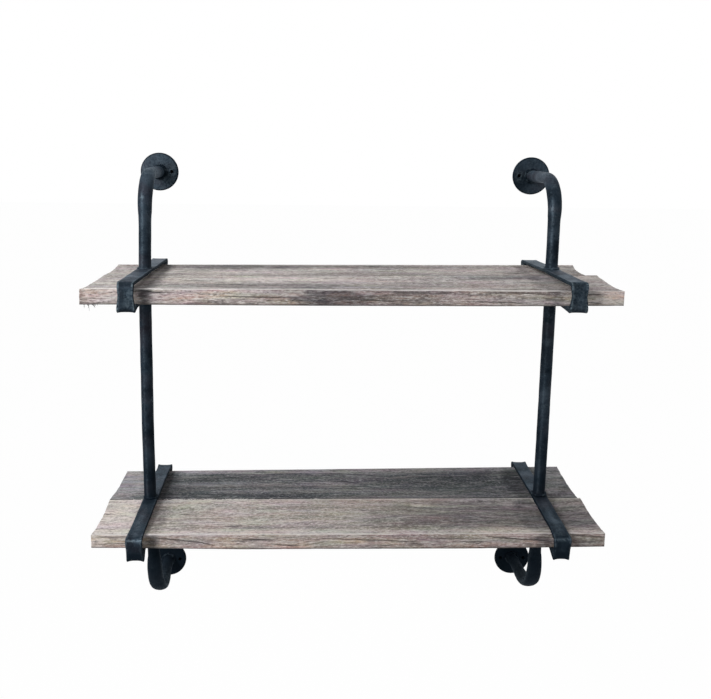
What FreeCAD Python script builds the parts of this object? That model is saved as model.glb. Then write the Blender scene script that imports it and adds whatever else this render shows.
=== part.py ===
import FreeCAD, Part
import Sketcher
import os

# Wall-hung shelving unit: two shelves, each of two reclaimed planks laid side by side in
# flat-bar loops. The loops are welded between lengths of round steel tube, which turn back to
# the wall at top and bottom and end in round screw flanges. Two such brackets stand side by side.
# Frame: origin on the wall plane, midway between the four flanges. +X to the right, +Y into the
# wall, +Z up, so the whole unit lies on the -Y side of the wall. Millimetres.

# ---------------------------------------------------------------- driving dimensions
SIZES = [
    ("bracket_spacing", 500, "between the tube axes of the two brackets"),
    ("wall_gap", 9.5, "wall to the back of the loops"),
    ("tube_diameter", 15, "outside of the round tube"),
    ("tube_wall", 2, "of the round tube"),
    ("upper_bend_radius", 45, "centre line of the top bends"),
    ("lower_bend_radius", 64, "centre line of the bottom bends"),
    ("upper_drop", 111, "top flange axis to the upper loop"),
    ("middle_tube_length", 263, "from the upper loop to the lower loop"),
    ("lower_drop", 116.5, "lower loop to the bottom flange axis"),
    ("flange_diameter", 50, "wall flange"),
    ("flange_thickness", 4, "wall flange"),
    ("flange_rim_bevel", 1.5, "front rim of the wall flange"),
    ("fixing_hole_diameter", 4.5, "two wall screws in each flange"),
    ("fixing_hole_spacing", 33, "level with the flange's centre"),
    ("bar_width", 19, "flat bar of the loops, between its bends"),
    ("bar_thickness", 4.5, "flat bar of the loops"),
    ("bend_inner_radius", 2.5, "corners of the loops"),
    ("bend_swell", 1, "the bar is wider by this on each side at a bend"),
    ("bend_swell_run", 14, "along the bar, from the bend to its plain width"),
    ("leg_waist", 1.8, "the sides of a loop's legs hollow in by this between the bends"),
    ("loop_front_gap", 15, "front plank to the loops' front legs"),
    ("loop_back_gap", 0.4, "back plank to the loops' back legs"),
    ("upper_headroom", 7.5, "over the plank's edge, inside the upper loops"),
    ("lower_headroom", 3, "over the plank's edge, inside the lower loops"),
    ("plank_thickness", 17.5, "at the plank's edges"),
    ("plank_dish", 1.6, "hollow across the weathered upper face"),
    ("back_plank_width", 98, "front to back"),
    ("front_plank_width", 102, "front to back"),
    ("plank_seam", 0.6, "between the two planks of a shelf"),
    ("plank_edge_round", 1.2, "worn long edges"),
    ("plank_end_dip", 1.8, "hollow of the hand-sawn ends"),
    ("loop_weld_leg", 1.9, "fillet bead between a tube and a loop"),
    ("flange_weld_leg", 3, "fillet bead between a tube and a flange"),
    ("screw_head_diameter", 8.4, "pan head of a plank screw"),
    ("screw_head_height", 2.6, "pan head of a plank screw"),
    ("screw_head_bevel", 1.2, "pan head of a plank screw"),
    ("screw_diameter", 4, "shank of a plank screw"),
    ("screw_length", 15, "under the head of a plank screw"),
    ("screw_point_length", 4, "tapered tip of a plank screw"),
    ("bar_hole_clearance", 0.6, "hole in the bar over the screw's shank"),
    ("pilot_clearance", 0.2, "hole in the plank over the screw's shank"),
    ("pilot_extra_depth", 1.5, "hole in the plank past the screw's tip"),
]

# How far each plank's four sawn corners stand out past the nearer bracket's tube axis.
CORNERS = ("left_front", "left_back", "right_front", "right_back")
OVERHANGS = {
    "upper_front_plank": (56, 52, 59, 61),
    "upper_back_plank": (52, 56, 46, 58.5),
    "lower_front_plank": (53.5, 55, 56.5, 58),
    "lower_back_plank": (55, 53, 54.5, 55.5),
}

doc = FreeCAD.newDocument("PipeShelvingUnit")
sheet = doc.addObject("Spreadsheet::Sheet", "Sizes")
sheet.Label = "Sizes"
rows = list(SIZES)
for plank, overhangs in OVERHANGS.items():
    for corner, overhang in zip(CORNERS, overhangs):
        rows.append((plank + "_" + corner, overhang, "corner past the bracket's tube axis"))
for row, (size_name, value, note) in enumerate(rows, start=1):
    sheet.set("A%d" % row, size_name)
    sheet.set("B%d" % row, str(value))
    sheet.set("C%d" % row, note)
    sheet.setAlias("B%d" % row, size_name)
doc.recompute()

# ---------------------------------------------------------------- sizes that follow from those
HALF_SPACING = "Sizes.bracket_spacing / 2"
TUBE_RADIUS = "Sizes.tube_diameter / 2"
LOOP_DEPTH = ("(2 * Sizes.bar_thickness + Sizes.loop_back_gap + Sizes.back_plank_width"
              " + Sizes.plank_seam + Sizes.front_plank_width + Sizes.loop_front_gap)")
REACH = "(Sizes.wall_gap + " + LOOP_DEPTH + " / 2)"
HEADROOM = {"upper": "Sizes.upper_headroom", "lower": "Sizes.lower_headroom"}
LOOP_HEIGHT = {
    level: "(2 * Sizes.bar_thickness + Sizes.plank_thickness + " + HEADROOM[level] + ")"
    for level in ("upper", "lower")
}
FLANGE_HEIGHT = ("((Sizes.upper_drop + " + LOOP_HEIGHT["upper"] + " + Sizes.middle_tube_length + "
                 + LOOP_HEIGHT["lower"] + " + Sizes.lower_drop) / 2)")
LOOP_TOP = {
    "upper": "(" + FLANGE_HEIGHT + " - Sizes.upper_drop)",
    "lower": "(" + LOOP_HEIGHT["lower"] + " + Sizes.lower_drop - " + FLANGE_HEIGHT + ")",
}
LOOP_BASE = {level: "(" + LOOP_TOP[level] + " - " + LOOP_HEIGHT[level] + ")"
             for level in ("upper", "lower")}

# Back edge and width of each plank, measured in Y from the middle of the loop.
PLANK_WIDTH = {"back": "Sizes.back_plank_width", "front": "Sizes.front_plank_width"}
BACK_EDGE = {"back": "(" + LOOP_DEPTH + " / 2 - Sizes.bar_thickness - Sizes.loop_back_gap)"}
BACK_EDGE["front"] = "(" + BACK_EDGE["back"] + " - Sizes.back_plank_width - Sizes.plank_seam)"
SCREW_LINE = {row: "(" + BACK_EDGE[row] + " - " + PLANK_WIDTH[row] + " / 2)"
              for row in ("back", "front")}

SIDES = {"left": -1, "right": 1}
PLANE_OF = {"plan": "XY_Plane", "front": "XZ_Plane", "side": "YZ_Plane"}
checked_volumes = []


# ---------------------------------------------------------------- sketching
def value_of(expression):
    return float(sheet.evalExpression(expression))


def new_body(label):
    body = doc.addObject("PartDesign::Body", label)
    body.Label = label
    return body


def place(thing, x="0", y="0", z="0"):
    """Binds where a piece's own origin lies in the unit's frame."""
    for axis, expression in zip("xyz", (x, y, z)):
        thing.setExpression("Placement.Base." + axis, expression)


def new_sketch(body, view, name):
    """A sketch on one of the body's origin planes: plan is XY, front is XZ, side is YZ."""
    sketch = body.newObject("Sketcher::SketchObject", name)
    plane = [f for f in body.Origin.OriginFeatures if f.Role == PLANE_OF[view]][0]
    sketch.AttachmentSupport = (plane, [""])
    sketch.MapMode = "FlatFace"
    return sketch


def dimension(sketch, kind, references, label, expression):
    number = sketch.addConstraint(Sketcher.Constraint(kind, *references, value_of(expression)))
    sketch.renameConstraint(number, label)
    sketch.setExpression("Constraints." + label, expression)


def pin(sketch, geometry, point, label, x, y):
    """Ties a point of the sketch to the sketch's origin."""
    dimension(sketch, "DistanceX", (-1, 1, geometry, point), label + "_x", x)
    dimension(sketch, "DistanceY", (-1, 1, geometry, point), label + "_y", y)


def join(sketch, geometry, other):
    sketch.addConstraint(Sketcher.Constraint("Coincident", geometry, 2, other, 1))


def vector(x, y):
    return FreeCAD.Vector(value_of(x), value_of(y), 0)


def outline(sketch, points, label="p", closed=True):
    """Straight lines through points given as pairs of expressions. Returns the first line."""
    first = sketch.GeometryCount
    count = len(points) if closed else len(points) - 1
    for n in range(count):
        start = vector(*points[n])
        end = vector(*points[(n + 1) % len(points)])
        sketch.addGeometry(Part.LineSegment(start, end), False)
        pin(sketch, first + n, 1, label + str(n), *points[n])
    for n in range(count - 1):
        join(sketch, first + n, first + n + 1)
    if closed:
        join(sketch, first + count - 1, first)
    else:
        pin(sketch, first + count - 1, 2, label + "_end", *points[-1])
    return first


def circle(sketch, x, y, radius, label):
    round_line = Part.Circle(vector(x, y), FreeCAD.Vector(0, 0, 1), value_of(radius))
    geometry = sketch.addGeometry(round_line, False)
    pin(sketch, geometry, 3, label, x, y)
    dimension(sketch, "Radius", (geometry,), label + "_radius", radius)


def hollow_cut(sketch, start, end, sagitta, beyond, label):
    """A region bounded by a shallow arc from start to end and by straight lines through beyond.
    The arc bulges away from beyond by the sagitta."""
    chord = "sqrt((%s - %s) ^ 2 + (%s - %s) ^ 2)" % (end[0], start[0], end[1], start[1])
    radius = "((%s) ^ 2 / 4 + (%s) ^ 2) / (2 * %s)" % (chord, sagitta, sagitta)
    lines = outline(sketch, [end] + beyond + [start], label, closed=False)
    a, b = vector(*start), vector(*end)
    towards = vector(*beyond[0]) - b
    across = (b - a).cross(FreeCAD.Vector(0, 0, 1)).normalize()
    if across.dot(towards) > 0:
        across = across * -1
    middle = (a + b) * 0.5 + across * value_of(sagitta)
    arc = Part.Arc(a, middle, b)
    geometry = sketch.addGeometry(arc, False)
    starts_at_a = sketch.getPoint(geometry, 1).distanceToPoint(a) < 1e-6
    last = lines + len(beyond)
    at_start, at_end = (1, 2) if starts_at_a else (2, 1)
    sketch.addConstraint(Sketcher.Constraint("Coincident", last, 2, geometry, at_start))
    sketch.addConstraint(Sketcher.Constraint("Coincident", lines, 1, geometry, at_end))
    dimension(sketch, "Radius", (geometry,), label + "_radius", radius)


# ---------------------------------------------------------------- solid features
def pad(body, sketch, length, both_ways=False, backwards=False):
    feature = body.newObject("PartDesign::Pad", sketch.Name + "_pad")
    feature.Profile = sketch
    feature.Midplane = both_ways
    feature.Reversed = backwards
    feature.setExpression("Length", length)
    doc.recompute()
    return feature


def pocket(body, sketch, depth=None):
    """Cuts to a depth on the side that the sketch faces, or right through both ways."""
    before = body.Shape.Volume
    feature = body.newObject("PartDesign::Pocket", sketch.Name + "_pocket")
    feature.Profile = sketch
    if depth is None:
        feature.Type = "ThroughAll"
        feature.Midplane = True
    else:
        feature.Reversed = True
        feature.setExpression("Length", depth)
    doc.recompute()
    checked_volumes.append((feature.Label, before, body.Shape.Volume))
    return feature


def edges_where(body, test):
    shape = body.Tip.Shape
    return ["Edge%d" % (n + 1) for n, edge in enumerate(shape.Edges) if test(edge)]


def ease(body, test, kind, size_name, size):
    """Rounds (Fillet, by its Radius) or bevels (Chamfer, by its Size) the edges that pass test."""
    before = body.Tip
    edges = edges_where(body, test)
    feature = body.newObject("PartDesign::" + kind, body.Label + "_eased")
    feature.Base = (before, edges)
    feature.setExpression(size_name, size)
    doc.recompute()
    return feature


def fillet(body, test, radius):
    return ease(body, test, "Fillet", "Radius", radius)


def revolve(body, sketch, axis="V_Axis", angle=360, backwards=False):
    feature = body.newObject("PartDesign::Revolution", sketch.Name + "_turned")
    feature.Profile = sketch
    feature.ReferenceAxis = (sketch, [axis])
    feature.Angle = angle
    feature.Reversed = backwards
    doc.recompute()
    return feature


def runs_along(edge, direction):
    """Whether an edge is straight and lies along a row axis."""
    if edge.Curve.TypeId != "Part::GeomLine":
        return False
    return abs(abs(edge.Curve.Direction.dot(direction)) - 1) < 1e-6


ALONG_X = FreeCAD.Vector(1, 0, 0)


# ---------------------------------------------------------------- wall flanges
def make_flange(label):
    """A turned disc with a bevelled rim and two screw holes. Its back lies on the wall."""
    body = new_body(label)
    disc = new_sketch(body, "front", label + "_disc")
    circle(disc, "0", "0", "Sizes.flange_diameter / 2", "rim")
    pad(body, disc, "Sizes.flange_thickness")
    front = -value_of("Sizes.flange_thickness")
    ease(body, lambda edge: abs(edge.CenterOfMass.y - front) < 1e-6,
         "Chamfer", "Size", "Sizes.flange_rim_bevel")
    holes = new_sketch(body, "front", label + "_holes")
    for side, sign in SIDES.items():
        circle(holes, "%d * Sizes.fixing_hole_spacing / 2" % sign, "0",
               "Sizes.fixing_hole_diameter / 2", side)
    pocket(body, holes)
    return body


# ---------------------------------------------------------------- tubes
def tube_section(sketch, y="0"):
    circle(sketch, "0", y, TUBE_RADIUS, "outside")
    circle(sketch, "0", y, TUBE_RADIUS + " - Sizes.tube_wall", "bore")


def make_bent_tube(label, turn, bend_radius, drop):
    """Straight out from a flange's face, round a quarter bend, and straight to a loop. Its origin
    is the flange's centre on the wall. turn is -1 where the bend goes down and 1 where up."""
    body = new_body(label)
    bend_start = "(" + REACH + " - " + bend_radius + ")"
    bend_centre = "%d * %s" % (turn, bend_radius)

    out = new_sketch(body, "front", label + "_out")
    out.setExpression("AttachmentOffset.Base.z", "Sizes.flange_thickness")
    tube_section(out)
    pad(body, out, bend_start + " - Sizes.flange_thickness")

    bend = new_sketch(body, "front", label + "_bend")
    bend.setExpression("AttachmentOffset.Base.z", bend_start)
    former = (("-" + TUBE_RADIUS, bend_centre), (TUBE_RADIUS, bend_centre))
    former_axis = bend.addGeometry(Part.LineSegment(*[vector(*end) for end in former]), True)
    pin(bend, former_axis, 1, "former_left", *former[0])
    pin(bend, former_axis, 2, "former_right", *former[1])
    tube_section(bend)
    revolve(body, bend, "Axis0", 90, backwards=turn > 0)

    along = new_sketch(body, "plan", label + "_along")
    along.setExpression("AttachmentOffset.Base.z", bend_centre)
    tube_section(along, "-" + REACH)
    pad(body, along, drop + " - " + bend_radius, backwards=turn < 0)
    return body


def make_straight_tube(label):
    body = new_body(label)
    section = new_sketch(body, "plan", label + "_section")
    tube_section(section)
    pad(body, section, "Sizes.middle_tube_length")
    return body


# ---------------------------------------------------------------- flat-bar loops
def make_loop(label, level):
    """One flat bar bent round into a flat rectangle, open to both sides. It swells sideways where
    it was bent. Its origin is the middle of its underside."""
    height = LOOP_HEIGHT[level]
    half_depth = LOOP_DEPTH + " / 2"
    half_width = "Sizes.bar_width / 2"
    swollen = "(" + half_width + " + Sizes.bend_swell)"
    clear = "(" + half_width + " + 2 * Sizes.bend_swell)"
    inner_depth = "(" + half_depth + " - Sizes.bar_thickness)"
    inner_top = "(" + height + " - Sizes.bar_thickness)"
    body = new_body(label)

    outside = new_sketch(body, "side", label + "_outside")
    outline(outside, [("-" + half_depth, "0"), (half_depth, "0"),
                      (half_depth, height), ("-" + half_depth, height)])
    pad(body, outside, "2 * " + swollen, both_ways=True)
    fillet(body, lambda edge: runs_along(edge, ALONG_X),
           "Sizes.bend_inner_radius + Sizes.bar_thickness")

    inside = new_sketch(body, "side", label + "_inside")
    outline(inside, [("-" + inner_depth, "Sizes.bar_thickness"),
                     (inner_depth, "Sizes.bar_thickness"),
                     (inner_depth, inner_top), ("-" + inner_depth, inner_top)])
    pocket(body, inside)
    y_limit = value_of(inner_depth)
    z_limits = (value_of("Sizes.bar_thickness"), value_of(inner_top))

    def inner_corner(edge):
        centre = edge.CenterOfMass
        at_height = min(abs(centre.z - z) for z in z_limits) < 1e-6
        return runs_along(edge, ALONG_X) and abs(abs(centre.y) - y_limit) < 1e-6 and at_height

    fillet(body, inner_corner, "Sizes.bend_inner_radius")

    run_start = "(" + inner_depth + " - Sizes.bend_swell_run)"
    bars = new_sketch(body, "plan", label + "_bar_sides")
    legs = new_sketch(body, "front", label + "_leg_sides")
    for side, sign in SIDES.items():
        plain, wide, out = ["%d * %s" % (sign, x) for x in (half_width, swollen, clear)]
        outline(bars, [(plain, "-" + run_start), (wide, "-" + inner_depth),
                       (out, "-" + inner_depth), (out, inner_depth),
                       (wide, inner_depth), (plain, run_start)], side)
        hollow_cut(legs, (wide, "Sizes.bar_thickness"), (wide, inner_top), "Sizes.leg_waist",
                   [(out, inner_top), (out, "Sizes.bar_thickness")], side)
    pocket(body, bars)
    pocket(body, legs)

    holes = new_sketch(body, "plan", label + "_screw_holes")
    for row, y in SCREW_LINE.items():
        circle(holes, "0", y, "(Sizes.screw_diameter + Sizes.bar_hole_clearance) / 2", row)
    pocket(body, holes, "Sizes.bar_thickness")
    return body


# ---------------------------------------------------------------- planks
def make_plank(label, row):
    """A weathered plank, hollow on top, with hand-sawn ends out of square. Its origin is the
    middle of its lower back edge."""
    width = PLANK_WIDTH[row]
    corner = {
        name: "%s (%s + Sizes.%s_%s)" % ("-" if name.startswith("left") else "",
                                         HALF_SPACING, label, name)
        for name in CORNERS
    }
    dipped = {
        "left": "((%s + %s) / 2 + Sizes.plank_end_dip)" % (corner["left_front"],
                                                           corner["left_back"]),
        "right": "((%s + %s) / 2 - Sizes.plank_end_dip)" % (corner["right_front"],
                                                            corner["right_back"]),
    }
    body = new_body(label)
    plan = new_sketch(body, "plan", label + "_plan")
    outline(plan, [(corner["left_front"], "-" + width), (corner["right_front"], "-" + width),
                   (dipped["right"], "-" + width + " / 2"), (corner["right_back"], "0"),
                   (corner["left_back"], "0"), (dipped["left"], "-" + width + " / 2")])
    pad(body, plan, "Sizes.plank_thickness")

    dish = new_sketch(body, "side", label + "_dish")
    above = "2 * Sizes.plank_thickness"
    hollow_cut(dish, ("-" + width, "Sizes.plank_thickness"), ("0", "Sizes.plank_thickness"),
               "Sizes.plank_dish", [("0", above), ("-" + width, above)], "top")
    pocket(body, dish)
    fillet(body, lambda edge: runs_along(edge, ALONG_X), "Sizes.plank_edge_round")

    pilots = new_sketch(body, "plan", label + "_pilots")
    for side, sign in SIDES.items():
        circle(pilots, "%d * %s" % (sign, HALF_SPACING), "-" + width + " / 2",
               "(Sizes.screw_diameter + Sizes.pilot_clearance) / 2", side)
    pocket(body, pilots,
           "Sizes.screw_length - Sizes.bar_thickness + Sizes.pilot_extra_depth")
    return body


# ---------------------------------------------------------------- weld beads and screws
def make_bead(label, leg, direction):
    """A fillet bead round a tube that stands on a flat face. Its origin is the tube's centre on
    that face. direction is 1 where the tube stands up and -1 where it hangs down."""
    body = new_body(label)
    profile = new_sketch(body, "front", label + "_profile")
    outline(profile, [
        (TUBE_RADIUS, "0"),
        (TUBE_RADIUS + " + " + leg, "0"),
        (TUBE_RADIUS, "%d * %s" % (direction, leg)),
    ])
    revolve(body, profile)
    return body


def make_screw(label):
    """A pan-head wood screw, point up. Its origin is the middle of the head's bearing face."""
    head = "Sizes.screw_head_diameter / 2"
    shank = "Sizes.screw_diameter / 2"
    body = new_body(label)
    profile = new_sketch(body, "front", label + "_profile")
    outline(profile, [
        ("0", "-Sizes.screw_head_height"),
        (head + " - Sizes.screw_head_bevel", "-Sizes.screw_head_height"),
        (head, "Sizes.screw_head_bevel - Sizes.screw_head_height"),
        (head, "0"),
        (shank, "0"),
        (shank, "Sizes.screw_length - Sizes.screw_point_length"),
        ("0", "Sizes.screw_length"),
    ])
    revolve(body, profile)
    return body


def group(label, members):
    compound = doc.addObject("Part::Compound", label)
    compound.Label = label
    compound.Links = members
    return compound


# ---------------------------------------------------------------- the two brackets
nodes = []
AXIS_Y = "-" + REACH
for side, sign in SIDES.items():
    x = "%d * %s" % (sign, HALF_SPACING)
    beads = []

    for level, turn, drop in (("upper", -1, "Sizes.upper_drop"), ("lower", 1, "Sizes.lower_drop")):
        flange_z = "%d * %s" % (-turn, FLANGE_HEIGHT)
        flange = make_flange("%s_%s_flange" % (side, level))
        place(flange, x, "0", flange_z)
        tube = make_bent_tube("%s_%s_pipe" % (side, level), turn,
                              "Sizes.%s_bend_radius" % level, drop)
        place(tube, x, "0", flange_z)
        loop = make_loop("%s_%s_loop" % (side, level), level)
        place(loop, x, AXIS_Y, LOOP_BASE[level])
        nodes += [flange, tube, loop]

        flange_bead = make_bead("%s_%s_flange_bead" % (side, level), "Sizes.flange_weld_leg", 1)
        flange_bead.Placement.Rotation = FreeCAD.Rotation(ALONG_X, 90)
        place(flange_bead, x, "-Sizes.flange_thickness", flange_z)
        top_bead = make_bead("%s_%s_top_bead" % (side, level), "Sizes.loop_weld_leg", 1)
        place(top_bead, x, AXIS_Y, LOOP_TOP[level])
        under_bead = make_bead("%s_%s_under_bead" % (side, level), "Sizes.loop_weld_leg", -1)
        place(under_bead, x, AXIS_Y, LOOP_BASE[level])
        beads += [flange_bead, top_bead, under_bead]

    middle_tube = make_straight_tube(side + "_middle_pipe")
    place(middle_tube, x, AXIS_Y, LOOP_TOP["lower"])
    nodes += [middle_tube, group(side + "_weld_beads", beads)]

# ---------------------------------------------------------------- the two shelves
for level in ("upper", "lower"):
    screws = []
    for row in ("front", "back"):
        plank = make_plank("%s_%s_plank" % (level, row), row)
        place(plank, "0", BACK_EDGE[row] + " - " + REACH,
              LOOP_BASE[level] + " + Sizes.bar_thickness")
        nodes.append(plank)
        for side, sign in SIDES.items():
            screw = make_screw("%s_%s_%s_screw" % (level, row, side))
            place(screw, "%d * %s" % (sign, HALF_SPACING), SCREW_LINE[row] + " - " + REACH,
                  LOOP_BASE[level])
            screws.append(screw)
    nodes.append(group(level + "_plank_screws", screws))

# ---------------------------------------------------------------- check and write
doc.recompute()
for thing in doc.Objects:
    faults = [state for state in thing.State if state in ("Invalid", "Error")]
    if faults:
        raise RuntimeError("%s is %s" % (thing.Label, faults))
for name, before, after in checked_volumes:
    if not after < before - 1e-6:
        raise RuntimeError("%s cuts nothing" % name)
os.makedirs("parts", exist_ok=True)
for node in nodes:
    if node.Shape.isNull() or not node.Shape.isValid() or not node.Shape.Solids:
        raise RuntimeError("%s has no valid shape" % node.Label)
    node.Shape.exportStep("parts/%s.step" % node.Label)
    box = node.Shape.BoundBox
    print("%-22s solids %d volume %9.1f  x %7.1f %7.1f  y %7.1f %7.1f  z %7.1f %7.1f" % (
        node.Label, len(node.Shape.Solids), node.Shape.Volume,
        box.XMin, box.XMax, box.YMin, box.YMax, box.ZMin, box.ZMax))
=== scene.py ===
import math

import bmesh
import bpy
import numpy as np
from mathutils import Matrix, Vector


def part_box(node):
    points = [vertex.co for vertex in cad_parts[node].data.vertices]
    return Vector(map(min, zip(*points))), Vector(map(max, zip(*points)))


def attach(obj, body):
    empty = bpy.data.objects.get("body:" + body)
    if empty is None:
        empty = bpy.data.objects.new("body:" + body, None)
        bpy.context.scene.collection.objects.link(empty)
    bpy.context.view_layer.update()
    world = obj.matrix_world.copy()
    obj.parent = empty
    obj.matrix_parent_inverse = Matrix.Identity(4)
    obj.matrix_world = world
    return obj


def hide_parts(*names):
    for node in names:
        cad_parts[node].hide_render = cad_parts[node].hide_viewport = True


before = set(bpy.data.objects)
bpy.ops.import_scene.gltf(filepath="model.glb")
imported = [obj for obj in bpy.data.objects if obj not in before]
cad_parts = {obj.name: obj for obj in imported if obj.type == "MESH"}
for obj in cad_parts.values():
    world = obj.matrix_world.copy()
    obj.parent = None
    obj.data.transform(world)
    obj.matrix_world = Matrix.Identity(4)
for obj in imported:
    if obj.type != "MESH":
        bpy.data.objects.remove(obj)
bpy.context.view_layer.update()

# ------------------------------------------------------------------ camera
# It stands a little left of the middle and above the upper shelf, about 1.15 m from the wall,
# and looks slightly down and to the right.
CAMERA_PLACE = Vector((-0.0503, -1.1510, 0.3084))
CAMERA_YAW = math.radians(2.038)
CAMERA_PITCH = math.radians(-9.943)
CAMERA_ROLL = math.radians(0.7207)
SENSOR_WIDTH = 36
PICTURE_WIDTH = 711
FOCAL_PIXELS = 846.4
SHIFT_PIXELS = (17.3, -51.1)

forward = Vector((
    math.sin(CAMERA_YAW) * math.cos(CAMERA_PITCH),
    math.cos(CAMERA_YAW) * math.cos(CAMERA_PITCH),
    math.sin(CAMERA_PITCH),
))
level_right = Vector((math.cos(CAMERA_YAW), -math.sin(CAMERA_YAW), 0))
level_up = level_right.cross(forward)
camera_right = level_right * math.cos(CAMERA_ROLL) + level_up * math.sin(CAMERA_ROLL)
camera_up = level_up * math.cos(CAMERA_ROLL) - level_right * math.sin(CAMERA_ROLL)

camera = bpy.data.objects.new("camera", bpy.data.cameras.new("camera"))
bpy.context.scene.collection.objects.link(camera)
camera.data.sensor_fit = "HORIZONTAL"
camera.data.sensor_width = SENSOR_WIDTH
camera.data.lens = FOCAL_PIXELS * SENSOR_WIDTH / PICTURE_WIDTH
camera.data.shift_x = SHIFT_PIXELS[0] / PICTURE_WIDTH
camera.data.shift_y = SHIFT_PIXELS[1] / PICTURE_WIDTH
turned = Matrix((camera_right, camera_up, -forward)).transposed().to_4x4()
camera.matrix_world = Matrix.Translation(CAMERA_PLACE) @ turned
bpy.context.scene.camera = camera


# ------------------------------------------------------------------ studio
# A pale floor well under the unit and a white surround, lit by a large soft lamp high on the left,
# a wide one overhead and a narrow upright one low on the left. The unit hangs free of any wall.
WHITE = (1, 1, 1, 1)
SURROUND_LIGHT = 0.29
FLOOR_HEIGHT = -1.05
FLOOR_REACH = 20
FLOOR_COLOUR = (0.97, 0.97, 0.97, 1)
FLOOR_GLOW = 0.985
# Each lamp's place, what it aims at, its width and height, and its power in watts.
LAMPS = {
    "key_lamp": ((-1.25, -0.95, 1.15), (0, -0.12, 0.05), (0.8, 0.8), 30),
    "overhead_lamp": ((0.1, -0.7, 1.9), (0, -0.12, 0), (1.8, 1.8), 9),
    "strip_lamp": ((-1.05, -1.35, 0.45), (0, -0.12, 0.15), (0.35, 1.1), 8),
}


class Nodes:
    """The shader nodes of a material or of the surround."""

    def __init__(self, owner):
        owner.use_nodes = True
        self.nodes = owner.node_tree.nodes
        self.links = owner.node_tree.links

    def fill(self, node, inputs):
        """Sets a node's sockets to plain values or links them to what other nodes give."""
        for socket, value in inputs.items():
            if isinstance(value, bpy.types.NodeSocket):
                self.links.new(value, node.inputs[socket])
            else:
                node.inputs[socket].default_value = value

    def add(self, kind, inputs=None, **settings):
        made = self.nodes.new("ShaderNode" + kind)
        for setting, value in settings.items():
            setattr(made, setting, value)
        self.fill(made, inputs or {})
        return made

    def reckon(self, kind, *values):
        """One step of arithmetic."""
        return self.add("Math", dict(enumerate(values)), operation=kind).outputs[0]

    def times(self, first, second):
        return self.reckon("MULTIPLY", first, second)

    def shows_white(self):
        """1 for rays from the camera, off a mirror or through glass, and 0 for soft light."""
        path = self.add("LightPath").outputs
        seen = self.reckon("MAXIMUM", path["Is Camera Ray"], path["Is Glossy Ray"])
        return self.reckon("MAXIMUM", seen, path["Is Transmission Ray"])


world = bpy.data.worlds.new("surround")
bpy.context.scene.world = world
surround = Nodes(world)
extra_light = surround.times(surround.shows_white(), 1 - SURROUND_LIGHT)
surround.fill(surround.nodes["Background"], {
    "Color": WHITE, "Strength": surround.reckon("ADD", extra_light, SURROUND_LIGHT)})

floor_mesh = bpy.data.meshes.new("studio_floor")
floor_corners = [(-1, -1), (1, -1), (1, 1), (-1, 1)]
floor_mesh.from_pydata([(x * FLOOR_REACH, y * FLOOR_REACH, FLOOR_HEIGHT) for x, y in floor_corners],
                       [], [(0, 1, 2, 3)])
floor = bpy.data.objects.new("studio_floor", floor_mesh)
bpy.context.scene.collection.objects.link(floor)

pale_floor = bpy.data.materials.new("pale_floor")
floor_nodes = Nodes(pale_floor)
floor_surface = floor_nodes.nodes["Principled BSDF"]
floor_nodes.fill(floor_surface, {"Base Color": FLOOR_COLOUR, "Roughness": 1, "Specular IOR Level": 0})
floor_light = floor_nodes.add("Emission", {"Color": WHITE, "Strength": 1.0})
floor_mix = floor_nodes.add("MixShader", {
    0: floor_nodes.times(floor_nodes.shows_white(), FLOOR_GLOW),
    1: floor_surface.outputs[0],
    2: floor_light.outputs[0],
})
floor_nodes.fill(floor_nodes.nodes["Material Output"], {"Surface": floor_mix.outputs[0]})
floor_mesh.materials.append(pale_floor)

for name, (place, aim, size, power) in LAMPS.items():
    lamp = bpy.data.objects.new(name, bpy.data.lights.new(name, "AREA"))
    lamp.data.shape = "RECTANGLE"
    lamp.data.size, lamp.data.size_y = size
    lamp.data.energy = power
    lamp.location = place
    lamp.rotation_euler = (Vector(aim) - Vector(place)).to_track_quat("-Z", "Y").to_euler()
    bpy.context.scene.collection.objects.link(lamp)
bpy.context.scene.view_settings.view_transform = "Standard"


# ------------------------------------------------------------------ wall flanges
# Four turned steel discs with a softened front rim and two screw holes each. The tubes are welded
# to them, and the whole unit hangs on their screws. Hot-blackened steel, oiled and a little worn.
SIDES = ("left", "right")
CORNERS = [(side, level) for side in SIDES for level in ("upper", "lower")]
RIM_ROUND = 0.0019
RIM_STEPS = 5
FIXING_HOLE_RADIUS = 0.00225
FIXING_HOLE_OFFSET = 0.0165
FIXING_HOLE_BREAK = 0.0005
# The radius of the dark disc of painted shade behind each screw hole, and how far it stands behind the
# disc.
HOLE_SHADE_RADIUS = 0.0028
HOLE_SHADE_GAP = 0.0004
# How many points go round a disc, a screw hole, a dark disc of painted shade behind a hole and the weld.
ROUND_DISC, ROUND_HOLE, ROUND_HOLE_SHADE, ROUND_WELD = 96, 28, 20, 48
# Rings on the front face round the weld. One side of each disc is painted dark as the tube's shadow:
# which way that side lies, x and z, and how dark it is at the middle and at the rim.
TUBE_SHADOW_RINGS = (0.0126, 0.0102)
TUBE_SHADOW = {"left": (0.97, -0.25, 0.98, 0.5), "right": (-0.92, -0.39, 1.0, 0.95)}
# How much darker each disc's rim is painted, and how dark the lower discs are painted as shade.
RIM_DARKENING = 0.75
LOWER_DISC_SHADE = 0.95
# How rubbed the upper discs are round their holes and on their faces.
HOLE_WEAR = 0.3
FACE_WEAR = {"left": 0.14, "right": 0.07}
STEEL_DARK = (0.004, 0.008, 0.013, 1)
STEEL_MID = (0.022, 0.034, 0.048, 1)
STEEL_LIGHT = (0.054, 0.074, 0.096, 1)
STEEL_RUDDY = (0.046, 0.036, 0.044, 1)
STEEL_BARE_AND_HIGHLIGHT = (0.15, 0.195, 0.225, 1)
STEEL_GLINT = (0.70, 0.80, 0.92, 1)
# The colour of the painted shade behind the screw holes.
HOLE_SHADE_COLOUR = (0.006, 0.007, 0.010, 1)


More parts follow.
